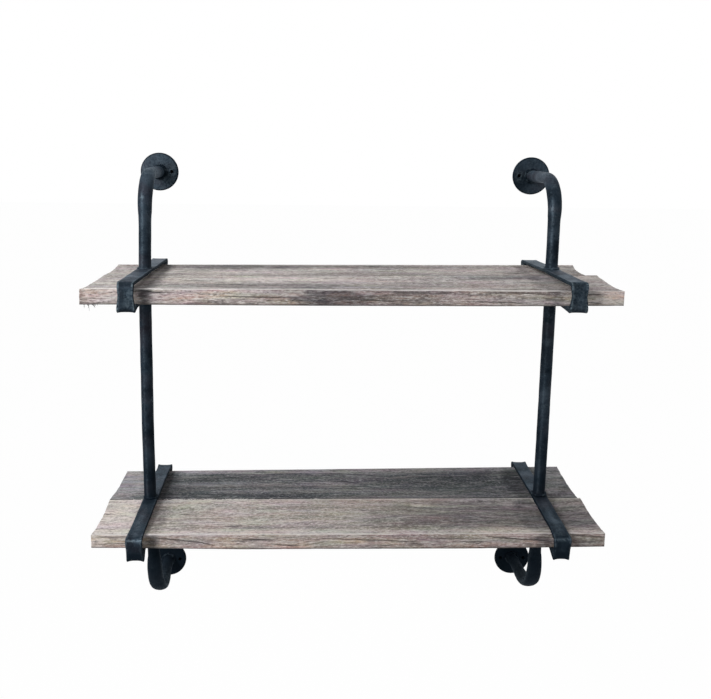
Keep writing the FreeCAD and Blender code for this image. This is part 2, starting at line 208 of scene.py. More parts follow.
class Finish(Nodes):
    """A material of the unit and the steps that its steel and wood are made with."""

    def __init__(self, name):
        self.material = bpy.data.materials.new(name)
        super().__init__(self.material)
        self.surface = self.nodes["Principled BSDF"]

    def noise(self, scale, detail, roughness=0.5, distortion=0.0, shift=(0, 0, 0), source=None):
        """Cloudy noise, stretched by scale, in the object's own coordinates or those of source."""
        if source is None:
            source = self.add("TexCoord").outputs["Object"]
        vector = self.add("Mapping", {"Vector": source, "Scale": scale, "Location": shift}).outputs[0]
        return self.add("TexNoise", {
            "Vector": vector, "Scale": 1.0, "Detail": detail, "Roughness": roughness,
            "Distortion": distortion}).outputs

    def spread(self, value, low, high, to_low=0.0, to_high=1.0):
        """Stretches a value's range and keeps it inside the new one."""
        return self.add("MapRange", {0: value, 1: low, 2: high, 3: to_low, 4: to_high}).outputs[0]

    def blend(self, share, under, over, kind="MIX"):
        mixer = self.add("Mix", {}, data_type="RGBA", blend_type=kind)
        self.fill(mixer, {0: share, 6: under, 7: over})
        return mixer.outputs[2]

    def coat(self, colour, *coats):
        """Lays coats over a colour, each a share and a colour of its own."""
        for share, over in coats:
            colour = self.blend(share, colour, over)
        return colour

    def painted(self, name):
        """What paint() stored on the mesh."""
        return self.add("Attribute", attribute_name=name).outputs["Fac"]

    def finish(self, strength, distance, height, inputs):
        """Fills in the surface, with a bump of its height."""
        bump = self.add("Bump", {"Strength": strength, "Distance": distance, "Height": height})
        self.fill(self.surface, {"Normal": bump.outputs[0], **inputs})
        return self.material


def make_steel(name, lift=1.0, scaly=1.0):
    """Blackened steel: mottled scale, faint rust blush, soot and painted shade, and bare metal where edges
    have rubbed, with painted highlights in the same pale tone. Lift makes its tones paler, and scaly is
    how strongly the scale shows."""
    steel = Finish(name)
    spread = steel.spread
    clouds = steel.noise((38, 38, 38), 5, 0.6, 0.4)["Fac"]
    specks = steel.noise((420, 420, 420), 4, 0.6)["Fac"]
    grit = steel.noise((1900, 1900, 1900), 2)["Fac"]
    blush = steel.noise((17, 17, 26), 3, 0.55, 0.6, (3, 1, 7))["Fac"]
    soot_and_shade = steel.painted("soot_and_shade")
    bare_and_highlight = steel.times(steel.painted("wear_and_highlight"), spread(specks, 0.36, 0.58))
    dark, mid, light = [tuple(min(1, channel * lift) for channel in tone[:3]) + (1,)
                        for tone in (STEEL_DARK, STEEL_MID, STEEL_LIGHT)]
    colour = steel.coat(
        dark,
        (spread(clouds, 0.34, 0.52, 1 - scaly, 1), mid),
        (spread(clouds, 0.52, 0.70), light),
        (spread(blush, 0.50, 0.68, 0, 0.45), STEEL_RUDDY),
        (spread(specks, 0.56, 0.72, 0, 0.55 * scaly), light),
        (spread(specks, 0.42, 0.30, 0, 0.6 * scaly), dark),
        # Soot and painted shade, then rubbed metal and painted highlights.
        (soot_and_shade, dark),
        (bare_and_highlight, STEEL_BARE_AND_HIGHLIGHT),
    )
    matt = steel.reckon("SUBTRACT", spread(clouds, 0.3, 0.7, 0.60, 0.42), steel.times(bare_and_highlight, 0.12))
    return steel.finish(0.35 * scaly, 0.0006, steel.reckon("MULTIPLY_ADD", specks, 0.7, grit), {
        "Base Color": colour,
        "Roughness": steel.reckon("ADD", matt, steel.times(soot_and_shade, 0.3)),
        "Metallic": 0.35,
        "Specular IOR Level": 0.07,
        "Specular Tint": STEEL_GLINT,
    })


def add_piece(name, mesh, material, slot, node=None, crease=None):
    """Puts a finished mesh into the scene as a piece of the unit, in place of its solid. Edges
    sharper than crease, in degrees, stay sharp."""
    mesh.materials.append(material)
    mesh.polygons.foreach_set("use_smooth", [True] * len(mesh.polygons))
    if crease:
        mesh.set_sharp_from_angle(angle=math.radians(crease))
    piece = bpy.data.objects.new(name, mesh)
    bpy.context.scene.collection.objects.link(piece)
    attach(piece, "root")
    if node:
        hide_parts(node)


def paint(mesh, name, values):
    """Stores one number per vertex, for the materials to read."""
    layer = mesh.attributes.new(name, "FLOAT", "POINT")
    layer.data.foreach_set("value", np.asarray(values, np.float32))


def turn_ring(shape, centre, radius, y, count):
    """A ring of vertices round a Y axis."""
    turns = [2 * math.pi * step / count for step in range(count)]
    return [shape.verts.new((centre[0] + radius * math.cos(turn), y, centre[1] + radius * math.sin(turn)))
            for turn in turns]


def bridge(shape, *rings):
    """Quads between each ring and the next."""
    for first, second in zip(rings, rings[1:]):
        for step in range(len(first)):
            after = (step + 1) % len(first)
            shape.faces.new((first[step], first[after], second[after], second[step]))


def ring_edges(shape, ring):
    pairs = [(ring[step - 1], ring[step]) for step in range(len(ring))]
    return [shape.edges.get(pair) or shape.edges.new(pair) for pair in pairs]


def flange_mesh(name, side, level, low, high, hole_shades):
    """A disc in the box of its solid. A dark disc of painted shade for each of its holes goes into the
    shape given for them.
    """
    middle = ((low.x + high.x) / 2, (low.z + high.z) / 2)
    radius = (high.x - low.x) / 2
    shape = bmesh.new()
    rim = [turn_ring(shape, middle, radius, high.y, ROUND_DISC),
           turn_ring(shape, middle, radius, low.y + RIM_ROUND, ROUND_DISC)]
    for step in range(1, RIM_STEPS + 1):
        angle = math.pi / 2 * step / RIM_STEPS
        rim.append(turn_ring(shape, middle, radius - RIM_ROUND * (1 - math.cos(angle)),
                             low.y + RIM_ROUND * (1 - math.sin(angle)), ROUND_DISC))
    bridge(shape, *rim)
    shadow_rings = [turn_ring(shape, middle, reach, low.y, ROUND_WELD) for reach in TUBE_SHADOW_RINGS]
    bridge(shape, *shadow_rings)
    shape.faces.new(shadow_rings[-1])
    front_edges = ring_edges(shape, rim[-1]) + ring_edges(shape, shadow_rings[0])
    back_edges = ring_edges(shape, rim[0])
    holes = []
    for offset in (-FIXING_HOLE_OFFSET, FIXING_HOLE_OFFSET):
        hole = (middle[0] + offset, middle[1])
        wall = [turn_ring(shape, hole, FIXING_HOLE_RADIUS + FIXING_HOLE_BREAK, low.y, ROUND_HOLE),
                turn_ring(shape, hole, FIXING_HOLE_RADIUS, low.y + FIXING_HOLE_BREAK, ROUND_HOLE),
                turn_ring(shape, hole, FIXING_HOLE_RADIUS, high.y, ROUND_HOLE)]
        bridge(shape, *wall)
        # A dark disc of painted shade behind the hole.
        hole_shades.faces.new(turn_ring(hole_shades, hole, HOLE_SHADE_RADIUS, high.y + HOLE_SHADE_GAP, ROUND_HOLE_SHADE))
        front_edges += ring_edges(shape, wall[0])
        back_edges += ring_edges(shape, wall[2])
        holes += wall[0] + wall[1]
    bmesh.ops.triangle_fill(shape, edges=front_edges, use_beauty=True)
    bmesh.ops.triangle_fill(shape, edges=back_edges, use_beauty=True)
    bmesh.ops.recalc_face_normals(shape, faces=shape.faces)

    upper = level == "upper"
    wear = dict.fromkeys(rim[-1] + shadow_rings[0] + shadow_rings[1], FACE_WEAR[side] * upper)
    wear.update(dict.fromkeys(holes, HOLE_WEAR * upper))
    rim_vertices = {vertex for ring in rim[:-1] for vertex in ring}
    # One side of a disc is painted dark as the tube's shadow. The lower discs are painted dark as shade,
    # and the rim is painted darker.
    shadow_x, shadow_z, middle_shadow, rim_shadow = TUBE_SHADOW[side]
    wear_and_highlight, soot_and_shade = [], []
    for vertex in shape.verts:
        off_x, off_z = vertex.co.x - middle[0], vertex.co.z - middle[1]
        reach = math.hypot(off_x, off_z)
        facing = max(0.0, (off_x * shadow_x + off_z * shadow_z) / reach)
        tube_shadow = facing * (middle_shadow + (rim_shadow - middle_shadow) * reach / radius)
        wear_and_highlight.append(wear.get(vertex, 0.0))
        soot_and_shade.append(max(0 if upper else LOWER_DISC_SHADE, tube_shadow, RIM_DARKENING * (vertex in rim_vertices)))
    mesh = bpy.data.meshes.new(name)
    shape.to_mesh(mesh)
    shape.free()
    paint(mesh, "wear_and_highlight", wear_and_highlight)
    paint(mesh, "soot_and_shade", soot_and_shade)
    return mesh


blackened_steel = make_steel("blackened_steel")
turned_steel = make_steel("turned_steel", scaly=0.45)

hole_shade_shape = bmesh.new()
for side, level in CORNERS:
    node = side + "_" + level + "_flange"
    mesh = flange_mesh(node + "_disc", side, level, *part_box(node), hole_shade_shape)
    add_piece(node + "_disc", mesh, turned_steel, "blackened_steel", node, crease=28)

# Dark discs of painted shade stand behind the screw holes so that the holes look shaded. They are no part
# of the unit.
hole_shade_mesh = bpy.data.meshes.new("painted_hole_shades")
hole_shade_shape.to_mesh(hole_shade_mesh)
hole_shade_shape.free()
hole_shade_finish = Finish("painted_hole_shade")
hole_shade_finish.fill(hole_shade_finish.surface, {"Base Color": HOLE_SHADE_COLOUR, "Specular IOR Level": 0})
hole_shade_mesh.materials.append(hole_shade_finish.material)
painted_hole_shades = bpy.data.objects.new("painted_hole_shades", hole_shade_mesh)
bpy.context.scene.collection.objects.link(painted_hole_shades)


# ------------------------------------------------------------------ tubes
# Round steel tube, 15 mm across: a straight length between the loops and a hand-bent length at
# each end, which turns back to its flange. The bends have flattened, so they bulge to the sides.
TUBE_RADIUS = 0.0075
BEND_RADIUS = {"upper": 0.045, "lower": 0.064}
# How much wider and how much flatter a bend is than the tube, and how strong the painted highlight on its
# flanks is.
BEND_BULGE = {"upper": (0.0015, 0.0010), "lower": (0.0027, 0.0018)}
FLANK_HIGHLIGHT = {"upper": 0.15, "lower": 0.5}
# How much of the bulge an arm has at its end and a leg at its start, and how fast the leg loses it.
ARM_BULGE = 0.55
LEG_BULGE = 0.35
BULGE_FADE = 1.6
# How many points go round a tube, and how many steps a straight tube has, and the arm, the bend and
# the leg of a bent one.
AROUND = 40
STRAIGHT_STEPS = 59
ARM_STEPS, BEND_STEPS, LEG_STEPS = 11, 32, 15
# How far an arm hangs below its flange's axis by the time it reaches the bend.
ARM_SAG = {"left_lower_pipe": 0.0026}
# How far each tube strays to the right, in mm: a bent one at its flange, at the start, middle and
# end of the bend and at the loop, and a straight one at its foot, a third of the way up and its head.
TUBE_STRAY = {
    "left_upper_pipe": (0.0, 1.0, 2.1, 2.2, 0.3),
    "right_upper_pipe": (0.0, 0.6, 0.5, 0.0, 0.0),
    "left_lower_pipe": (0.0, 2.0, 2.5, 2.2, 0.2),
    "right_lower_pipe": (0.0, 1.2, 2.0, -0.7, 0.0),
    "left_middle_pipe": (-0.7, -1.3, -0.3),
    "right_middle_pipe": (0.0, 0.4, 0.4),
}
# How far each loop's bar really lies over or under its solid, in mm, because the loops were bent
# and set by hand: at the front, the front board's edge, the tube and the back, top bar first.
LOOP_SET = {
    "left_upper": ((-1.9, -2.0, -2.5, -3.8), (-3.6, 0.0, 0.0, 0.0)),
    "right_upper": ((0.8, 0.7, 0.6, -2.0), (-0.7, 0.7, 3.6, 3.4)),
    "left_lower": ((-4.8, -2.8, 0.0, 2.2), (-4.7, 0.0, 0.0, 0.0)),
    "right_lower": ((-5.0, -2.8, 3.2, 6.1), (-4.8, 0.0, 1.4, 6.0)),
}
BOARD_FRONT = -0.213
# The straight and the upper bent tubes show a painted highlight line along their fronts: where it lies
# across them and how wide it is, in radii, and how strong it is on a straight tube and, at steps along it,
# on an upper bent one.
HIGHLIGHT_PLACE = {"left": -0.28, "right": -0.48}
HIGHLIGHT_WIDTH = 0.17
STRAIGHT_HIGHLIGHT = 0.5
UPPER_BENT_HIGHLIGHT = ((27, 40), (0, 1))
# How dark a straight tube is painted with soot and painted shade, at shares of its height, and an upper
# bent one, at steps along it. A lower bent one is painted dark all along as shade.
STRAIGHT_SOOT_AND_SHADE = ((0, 0.2, 0.5, 0.9, 1), (0.85, 0.6, 0.35, 0.35, 0.6))
UPPER_BENT_SOOT_AND_SHADE = ((0, 12, 20, 30, 42), (0.3, 0.0, 0.25, 0.55, 0.35))
LOWER_BENT_SHADE = 0.9
# How many cells the random field has each way before it repeats.
WANDER_CELLS = 48
# How deep a tube's wide and fine dents are.
WIDE_DENT = 0.00016
FINE_DENT = 0.00007


def wander(points, scale, seed):
    """A smooth random field between about -1 and 1, sampled at an array of points."""
    table = np.random.default_rng(seed).uniform(-1, 1, (WANDER_CELLS,) * 3)
    spots = np.asarray(points, float) * np.asarray(scale, float) + 1000.0
    base = np.floor(spots).astype(int)
    part = spots - base
    part = part * part * (3 - 2 * part)
    total = np.zeros(len(spots))
    for corner in range(8):
        step = np.array([corner & 1, corner >> 1 & 1, corner >> 2 & 1])
        weight = np.prod(np.where(step == 1, part, 1 - part), axis=1)
        place = (base + step) % WANDER_CELLS
        total += weight * table[place[:, 0], place[:, 1], place[:, 2]]
    return total


def skin(rings, closed=False):
    """Quads between neighbouring rings of points, given as an array of ring, step, xyz."""
    count, around = rings.shape[:2]
    number = np.arange(count * around).reshape(count, around)
    faces = []
    for ring in range(count if closed else count - 1):
        here, there = number[ring], number[(ring + 1) % count]
        for step in range(around):
            after = (step + 1) % around
            faces.append((here[step], there[step], there[after], here[after]))
    if not closed:
        faces.append(tuple(number[0]))
        faces.append(tuple(number[-1][::-1]))
    return rings.reshape(-1, 3), faces


def mesh_of(name, points, faces):
    mesh = bpy.data.meshes.new(name)
    mesh.from_pydata([tuple(point) for point in points], [], faces)
    shape = bmesh.new()
    shape.from_mesh(mesh)
    bmesh.ops.recalc_face_normals(shape, faces=shape.faces)
    shape.to_mesh(mesh)
    shape.free()
    return mesh


def bar_lift(side, level, y, up):
    """How far a loop's bar is off its solid at a depth y; up is 1 on the top bar and 0 below."""
    low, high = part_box(side + "_" + level + "_loop")
    knots = (low.y, BOARD_FRONT, tube_y[side], high.y)
    top, bottom = LOOP_SET[side + "_" + level]
    return (np.interp(y, knots, top) * up + np.interp(y, knots, bottom) * (1 - up)) / 1000


def tube_mesh(name, x, path, bends, seed, shade_and_soot, highlight_stripe, highlight_place, flank_highlight=0.0, bulge=(0, 0)):
    """A tube along a path of (y, z) points at the places x; bends is how far each is in a bend.
    Stripe is how strongly each shows a painted highlight line along the front, at a place in radii."""
    path = np.asarray(path, float)
    bends = np.asarray(bends, float)
    along = np.gradient(path, axis=0)
    along /= np.linalg.norm(along, axis=1)[:, None]
    out = np.stack([along[:, 1], -along[:, 0]], axis=1)
    angles = np.linspace(0, 2 * math.pi, AROUND, endpoint=False)
    across = np.cos(angles)[None, :] * (TUBE_RADIUS + bulge[0] * bends)[:, None]
    outward = np.sin(angles)[None, :] * (TUBE_RADIUS - bulge[1] * bends)[:, None]
    rings = np.empty((len(path), AROUND, 3))
    rings[:, :, 0] = x[:, None] + across
    rings[:, :, 1] = path[:, 0:1] + out[:, 0:1] * outward
    rings[:, :, 2] = path[:, 1:2] + out[:, 1:2] * outward
    points, faces = skin(rings)
    dents = wander(points, 70, seed) * WIDE_DENT + wander(points, 240, seed + 1) * FINE_DENT
    centres = np.repeat(np.column_stack([x, path]), AROUND, axis=0)
    points = points + (points - centres) / TUBE_RADIUS * dents[:, None]
    mesh = mesh_of(name, points, faces)

    # A painted highlight line runs along the front of the tube.
    facing = np.sin(angles) * (path[0, 1] - path[-1, 1]) > 0
    line = np.exp(-((np.cos(angles) - highlight_place) / HIGHLIGHT_WIDTH) ** 2)
    line = np.asarray(highlight_stripe)[:, None] * line * facing
    shade_and_soot = np.asarray(shade_and_soot)[:, None] * (1 - line)
    # The flanks and the crown of a bend carry painted highlights; the ridges are wear.
    flank = np.abs(np.cos(angles))[None, :] ** 8 * bends[:, None]
    crown = np.clip(np.sin(angles) + 0.4, 0, 1)[None, :] * bends[:, None]
    crown *= np.clip(1.5 - np.arange(len(path)) / 16, 0, 1)[:, None]
    ridge = np.clip(wander(points, 120, seed + 2).reshape(flank.shape) - 0.35, 0, 1) * 0.5
    wear_and_highlight = (flank * flank_highlight + crown * 0.5 + ridge) * (1 - 0.6 * shade_and_soot) + line * 0.2
    paint(mesh, "wear_and_highlight", np.clip(wear_and_highlight, 0, 0.4).ravel())
    paint(mesh, "soot_and_shade", shade_and_soot.ravel())
    return mesh


tube_y = {}
for side in SIDES:
    node = side + "_middle_pipe"
    low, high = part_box(node)
    tube_y[side] = (low.y + high.y) / 2
    foot = low.z + bar_lift(side, "lower", tube_y[side], 1)
    head = high.z + bar_lift(side, "upper", tube_y[side], 0)
    path = [(tube_y[side], height) for height in np.linspace(foot, head, STRAIGHT_STEPS + 1)]
    bends = np.zeros(len(path))
    climb = np.linspace(0, 1, len(path))
    stray = np.interp(climb, (0, 0.35, 1), TUBE_STRAY[node]) / 1000
    shade_and_soot = np.interp(climb, *STRAIGHT_SOOT_AND_SHADE)
    highlight_stripe = np.full(len(path), STRAIGHT_HIGHLIGHT)
    seed = 11 + SIDES.index(side)
    mesh = tube_mesh(side + "_middle_tube", (low.x + high.x) / 2 + stray, path, bends, seed, shade_and_soot,
                     highlight_stripe, HIGHLIGHT_PLACE[side])
    add_piece(side + "_middle_tube", mesh, blackened_steel, "blackened_steel", node, crease=50)

for side, level in CORNERS:
    node = side + "_" + level + "_pipe"
    turn = 1 if level == "upper" else -1
    bend_radius = BEND_RADIUS[level]
    low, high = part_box(node)
    flange_low, flange_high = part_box(side + "_" + level + "_flange")
    flange_z = (flange_low.z + flange_high.z) / 2
    loop_low, loop_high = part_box(side + "_" + level + "_loop")
    loop_z = loop_high.z if level == "upper" else loop_low.z
    loop_z += bar_lift(side, level, tube_y[side], int(level == "upper"))
    corner_y = tube_y[side] + bend_radius
    corner_z = flange_z - turn * bend_radius
    # The tube goes from its flange to its loop. It bulges a little before its bend and after it.
    path = [(y, flange_z) for y in np.linspace(flange_low.y, corner_y, ARM_STEPS + 1)[:-1]]
    bends = [ARM_BULGE * (step / (ARM_STEPS - 1)) ** 3 for step in range(ARM_STEPS)]
    for step in range(BEND_STEPS + 1):
        angle = math.pi / 2 * step / BEND_STEPS
        path.append((corner_y - bend_radius * math.sin(angle),
                     corner_z + turn * bend_radius * math.cos(angle)))
        bends.append(math.sin(math.pi * (step + 6) / (BEND_STEPS + 10)) ** 0.6)
    path += [(tube_y[side], height) for height in np.linspace(corner_z, loop_z, LEG_STEPS + 1)[1:]]
    bends += [LEG_BULGE * math.exp(-step / BULGE_FADE) for step in range(1, LEG_STEPS + 1)]
    sag = ARM_SAG.get(node, 0.0)
    arm = flange_low.y - tube_y[side] - bend_radius
    path = [(y, z - sag * min(1, (flange_low.y - y) / arm)
             * min(1, (z - loop_z) / (corner_z - loop_z))) for y, z in path]
    steps = np.arange(len(path))
    if level == "upper":
        shade_and_soot = np.interp(steps, *UPPER_BENT_SOOT_AND_SHADE)
        highlight_stripe = np.interp(steps, *UPPER_BENT_HIGHLIGHT)
    else:
        shade_and_soot = np.full(len(path), LOWER_BENT_SHADE)
        highlight_stripe = np.zeros(len(path))
    knots = (0, ARM_STEPS, ARM_STEPS + BEND_STEPS / 2, ARM_STEPS + BEND_STEPS, len(path) - 1)
    stray = np.interp(steps, knots, TUBE_STRAY[node]) / 1000
    seed = 20 + 4 * SIDES.index(side) + (level == "lower")
    mesh = tube_mesh(node + "_bent", (low.x + high.x) / 2 + stray, path, bends, seed, shade_and_soot, highlight_stripe,
                     HIGHLIGHT_PLACE[side], FLANK_HIGHLIGHT[level], BEND_BULGE[level])
    add_piece(node + "_bent", mesh, blackened_steel, "blackened_steel", node, crease=50)


# ------------------------------------------------------------------ flat-bar loops
# Each bracket has two loops of flat bar, bent round the planks by hand and closed at the back.
# At a bend the bar spreads to the sides and its outer face goes hollow between two raised edges.
BAR_THICKNESS = 0.0045
BAR_INNER_RADIUS = 0.0025
BAR_EDGE_ROUND = 0.0011
BAR_SWELL_RUN = 0.014
BAR_HOLLOW = 0.0011
# How much wider the long bars get at a bend, and how far a bar's width, line and faces are uneven.
BAR_SWELL = 0.0006
WIDTH_WAVER = 0.00022
LINE_WAVER = 0.0003
BAR_DENT = 0.00012
# How long the bar's steps are, and how many there are round a bend, across a face and on an edge.
BAR_STEP = 0.004
CORNER_STEPS = 10
FACE_STEPS = 8
EDGE_ROUND_STEPS = 3
# How far back from the front leg its own widths and its lean still show.
LEG_RUN = 0.026
# Half widths of each loop's front leg at its top, middle and bottom, then of its long bars, and
# how far the leg's top and bottom stand to the right.
BAR_WIDTHS = {
    "left_upper": (0.0092, 0.0084, 0.0101, 0.0094, 0.0, -0.0004),
    "right_upper": (0.0096, 0.0082, 0.0102, 0.0094, 0.0010, 0.0016),
    "left_lower": (0.0095, 0.0094, 0.0100, 0.0089, -0.0004, 0.0018),
    "right_lower": (0.0104, 0.0096, 0.0092, 0.0093, -0.0004, -0.0014),
}
# How rubbed each loop's edges are, how much painted light its faces carry, how dark it is painted as
# shade, and how much barer its top bar gets behind the tube.
LOOP_LOOK = {
    "left_upper": (0.8, 0.05, 0.0, 0.14),
    "right_upper": (0.7, 0.13, 0.0, 0.16),
    "left_lower": (0.4, 0.0, 0.40, 0.17),
    "right_lower": (0.25, 0.0, 0.55, 0.06),
}
# How dark each front leg is painted with soot and painted shade beside a stripe of painted highlight, how
# far inwards the stripe lies as a share of the half width, and how bright it is.
LEG_LOOK = {
    "left_upper": (0.55, 0.30, 0.20),
    "right_upper": (0.60, -0.15, 0.02),
    "left_lower": (0.65, 0.10, 0.00),
    "right_lower": (0.95, 0.00, 0.00),
}
LEG_HIGHLIGHT_WIDTH = 0.4
# How strong the painted highlight on the lower loops' upper front bends is.
LOWER_CREST_HIGHLIGHT = {"left": 0.45, "right": 0.30}
# How dark the upper loops' front bends are painted as shade, and the low ends of the lower loops' legs.
UPPER_BEND_SHADE = 0.85
LOW_END_SHADE = 0.95
LOW_END_HEIGHT = 0.012
# How much barer and less sooty the lower loops' top bars are where they are handled, in front of
# the tube, and how sooty they are close to its weld.
HANDLED_WEAR = 0.16
HANDLED_CLEAN = 0.4
WELD_SOOT = 0.55


def bar_stations(low, high):
    """Points along the middle of the bar: y, z, outward y, z, nearness of a bend, share in it."""
    inset = BAR_THICKNESS / 2
    bend = BAR_INNER_RADIUS + inset
    front, back = low.y + inset, high.y - inset
    base, top = low.z + inset, high.z - inset
    corners = [(front + bend, base + bend, 180), (back - bend, base + bend, 270),
               (back - bend, top - bend, 0), (front + bend, top - bend, 90)]
    stations = []
    for number, (y, z, start) in enumerate(corners):
        for step in range(CORNER_STEPS + 1):
            angle = math.radians(start + 90 * step / CORNER_STEPS)
            share = math.sin(math.pi * step / CORNER_STEPS)
            stations.append((y + bend * math.cos(angle), z + bend * math.sin(angle),
                             math.cos(angle), math.sin(angle), 1.0, share))
        ahead_y, ahead_z, _ = corners[(number + 1) % 4]
        turn = math.radians(start + 90)
        off_y, off_z = bend * math.cos(turn), bend * math.sin(turn)
        begin = Vector((y + off_y, z + off_z))
        end = Vector((ahead_y + off_y, ahead_z + off_z))
        length = (end - begin).length
        count = max(4, round(length / BAR_STEP))
        for step in range(1, count):
            place = begin.lerp(end, step / count)
            gap = min(step, count - step) * length / count
            near = max(0.0, 1 - gap / BAR_SWELL_RUN)
            stations.append((place.x, place.y, math.cos(turn), math.sin(turn), near * near, 0.0))
    return np.array(stations)


def bar_section(half_width):
    """The bar's cross-section for one half width: across, outward, and nearness of an edge."""
    edge, thick = BAR_EDGE_ROUND, BAR_THICKNESS / 2
    section = []
    for face in (1, -1):
        for step in range(FACE_STEPS + 1):
            spot = face * (half_width - edge) * (1 - 2 * step / FACE_STEPS)
            section.append((spot, face * thick, float(step in (0, FACE_STEPS))))
        rounding = [math.pi / 2 * step / EDGE_ROUND_STEPS for step in range(1, EDGE_ROUND_STEPS)]
        for angle in rounding:
            section.append((-face * (half_width - edge + edge * math.sin(angle)),
                            face * (thick - edge + edge * math.cos(angle)), 1.0))
        section.append((-face * half_width, face * (thick - edge), 0.7))
        section.append((-face * half_width, -face * (thick - edge), 0.7))
        for angle in reversed(rounding):
            section.append((-face * (half_width - edge + edge * math.sin(angle)),
                            -face * (thick - edge + edge * math.cos(angle)), 1.0))
    return np.array(section)


def bar_look(side, level, low, high, station, section, half_width):
    """The wear and painted highlights, and the soot and painted shade, of a loop's bar at each point of
    one cross-section.
    """
    y, z, _, _, near, share = station
    edge_wear, face_light, loop_shade, back_wear = LOOP_LOOK[side + "_" + level]
    leg_soot_and_shade, highlight_place, highlight_strength = LEG_LOOK[side + "_" + level]
    lower = level == "lower"
    straight = share == 0
    on_leg = y < low.y + BAR_INNER_RADIUS + BAR_THICKNESS
    on_top = z > (low.z + high.z) / 2
    low_end = lower and on_leg and z < low.z + LOW_END_HEIGHT
    inner_share = section[:, 0] * (1 if side == "left" else -1) / half_width
    # The bar's inner side face is painted fully dark as shade, and its edges carry no wear.
    shaded_inner_side = (inner_share > 0.9) & (section[:, 1] < BAR_THICKNESS / 2 - 0.3 * BAR_EDGE_ROUND)

    # A stripe of painted highlight down the front leg.
    highlight_stripe = np.exp(-((inner_share - highlight_place) / LEG_HIGHLIGHT_WIDTH) ** 2) * (on_leg and straight)
    # A painted highlight on the lower loops' upper front bends.
    crest = LOWER_CREST_HIGHLIGHT[side] * share ** 8 * (lower and on_leg and on_top)
    behind = np.clip((y - tube_y[side]) / 0.012, 0, 1) * on_top
    handled = np.exp(-(inner_share / 0.5) ** 2) * (lower and straight and on_top and not on_leg)
    handled *= np.interp(y, (low.y, low.y + 0.03, tube_y[side] - 0.045, tube_y[side] - 0.012),
                         (0.6, 1, 1, 0))
    by_weld = math.exp(-((tube_y[side] - y) / 0.014) ** 2) * (lower and y < tube_y[side])

    edges = section[:, 2] * (0.35 + 0.5 * near) * edge_wear * ~shaded_inner_side
    if low_end:
        edges *= 0.3
    # The upper loops' faces carry painted light, and the lower loops are painted dark as shade.
    faces = face_light + back_wear * behind + handled * HANDLED_WEAR + crest + highlight_stripe * highlight_strength
    shade_and_soot = loop_shade * (1 - behind) - crest - handled * HANDLED_CLEAN + by_weld * WELD_SOOT
    if on_leg:
        shade_and_soot = np.maximum(shade_and_soot, leg_soot_and_shade * (1 - highlight_stripe) * straight)
    # Painted shade on the upper loops' front bends and on the low ends of the lower loops' legs.
    if on_leg and not lower:
        shade_and_soot = np.maximum(shade_and_soot, UPPER_BEND_SHADE * share)
    if low_end:
        shade_and_soot = np.maximum(shade_and_soot, LOW_END_SHADE)
    return np.maximum(edges, faces), np.where(shaded_inner_side, 1.0, np.clip(shade_and_soot, 0, 1))


for number, (side, level) in enumerate(CORNERS):
    node = side + "_" + level + "_loop"
    low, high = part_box(node)
    loop_x = (low.x + high.x) / 2
    leg_top, leg_middle, leg_bottom, long_half, top_x, bottom_x = BAR_WIDTHS[side + "_" + level]
    seed = 40 + 3 * number
    stations = bar_stations(low, high)
    up = (stations[:, 1] - low.z) / (high.z - low.z)
    leg_share = np.clip((low.y + LEG_RUN - stations[:, 0]) / LEG_RUN, 0, 1)
    leg_half = np.interp(up, (0.2, 0.55, 0.8), (leg_bottom, leg_middle, leg_top))
    spots = np.column_stack([np.full(len(stations), loop_x), stations[:, :2]])
    half = long_half + (leg_half - long_half) * leg_share
    half += wander(spots, (1, 60, 60), seed) * WIDTH_WAVER
    half += BAR_SWELL * stations[:, 4] * (1 - leg_share)
    sway = wander(spots, (1, 45, 45), seed + 1) * LINE_WAVER
    sway += (bottom_x + (top_x - bottom_x) * up) * leg_share
    rings, wear_and_highlight, soot_and_shade = [], [], []
    for station, half_width, off_x in zip(stations, half, sway):
        y, z, out_y, out_z, _, share = station
        section = bar_section(half_width)
        edge_share = (np.abs(section[:, 0]) / half_width) ** 3
        hollow = BAR_HOLLOW * share * (1.5 * edge_share - 0.5) * (section[:, 1] > 0)
        outward = section[:, 1] + hollow
        rings.append(np.column_stack([loop_x + off_x + section[:, 0],
                                      y + out_y * outward, z + out_z * outward]))
        ring_wear_and_highlight, ring_soot_and_shade = bar_look(side, level, low, high, station, section, half_width)
        wear_and_highlight.append(ring_wear_and_highlight)
        soot_and_shade.append(ring_soot_and_shade)
    points, faces = skin(np.array(rings), closed=True)
    dents = np.abs(wander(points, 90, seed + 2)) * BAR_DENT
    points[:, 1:] -= np.repeat(stations[:, 2:4], len(rings[0]), axis=0) * dents[:, None]
    points[:, 1] = np.maximum(points[:, 1], low.y + 0.00005)
    point_up = np.clip((points[:, 2] - low.z) / (high.z - low.z), 0, 1)
    points[:, 2] += bar_lift(side, level, points[:, 1], point_up)
    mesh = mesh_of(node + "_bar", points, faces)
    paint(mesh, "wear_and_highlight", np.concatenate(wear_and_highlight))
    paint(mesh, "soot_and_shade", np.concatenate(soot_and_shade))
    add_piece(node + "_bar", mesh, blackened_steel, "blackened_steel", node)


# ------------------------------------------------------------------ weld beads
# The tubes are welded all round to the loops above and below, and to the flanges. A hand-laid
# bead is a row of overlapping ripples, uneven in width.
LOOP_BEAD_LEG = 0.0019
TOP_BEAD_LEG = {"left": 0.0019, "right": 0.0027}
FLANGE_BEAD_LEG = 0.003
LOOP_RIPPLES = 15
FLANGE_RIPPLES = 18
BEAD_STEPS = 120
BEAD_PROFILE = 7


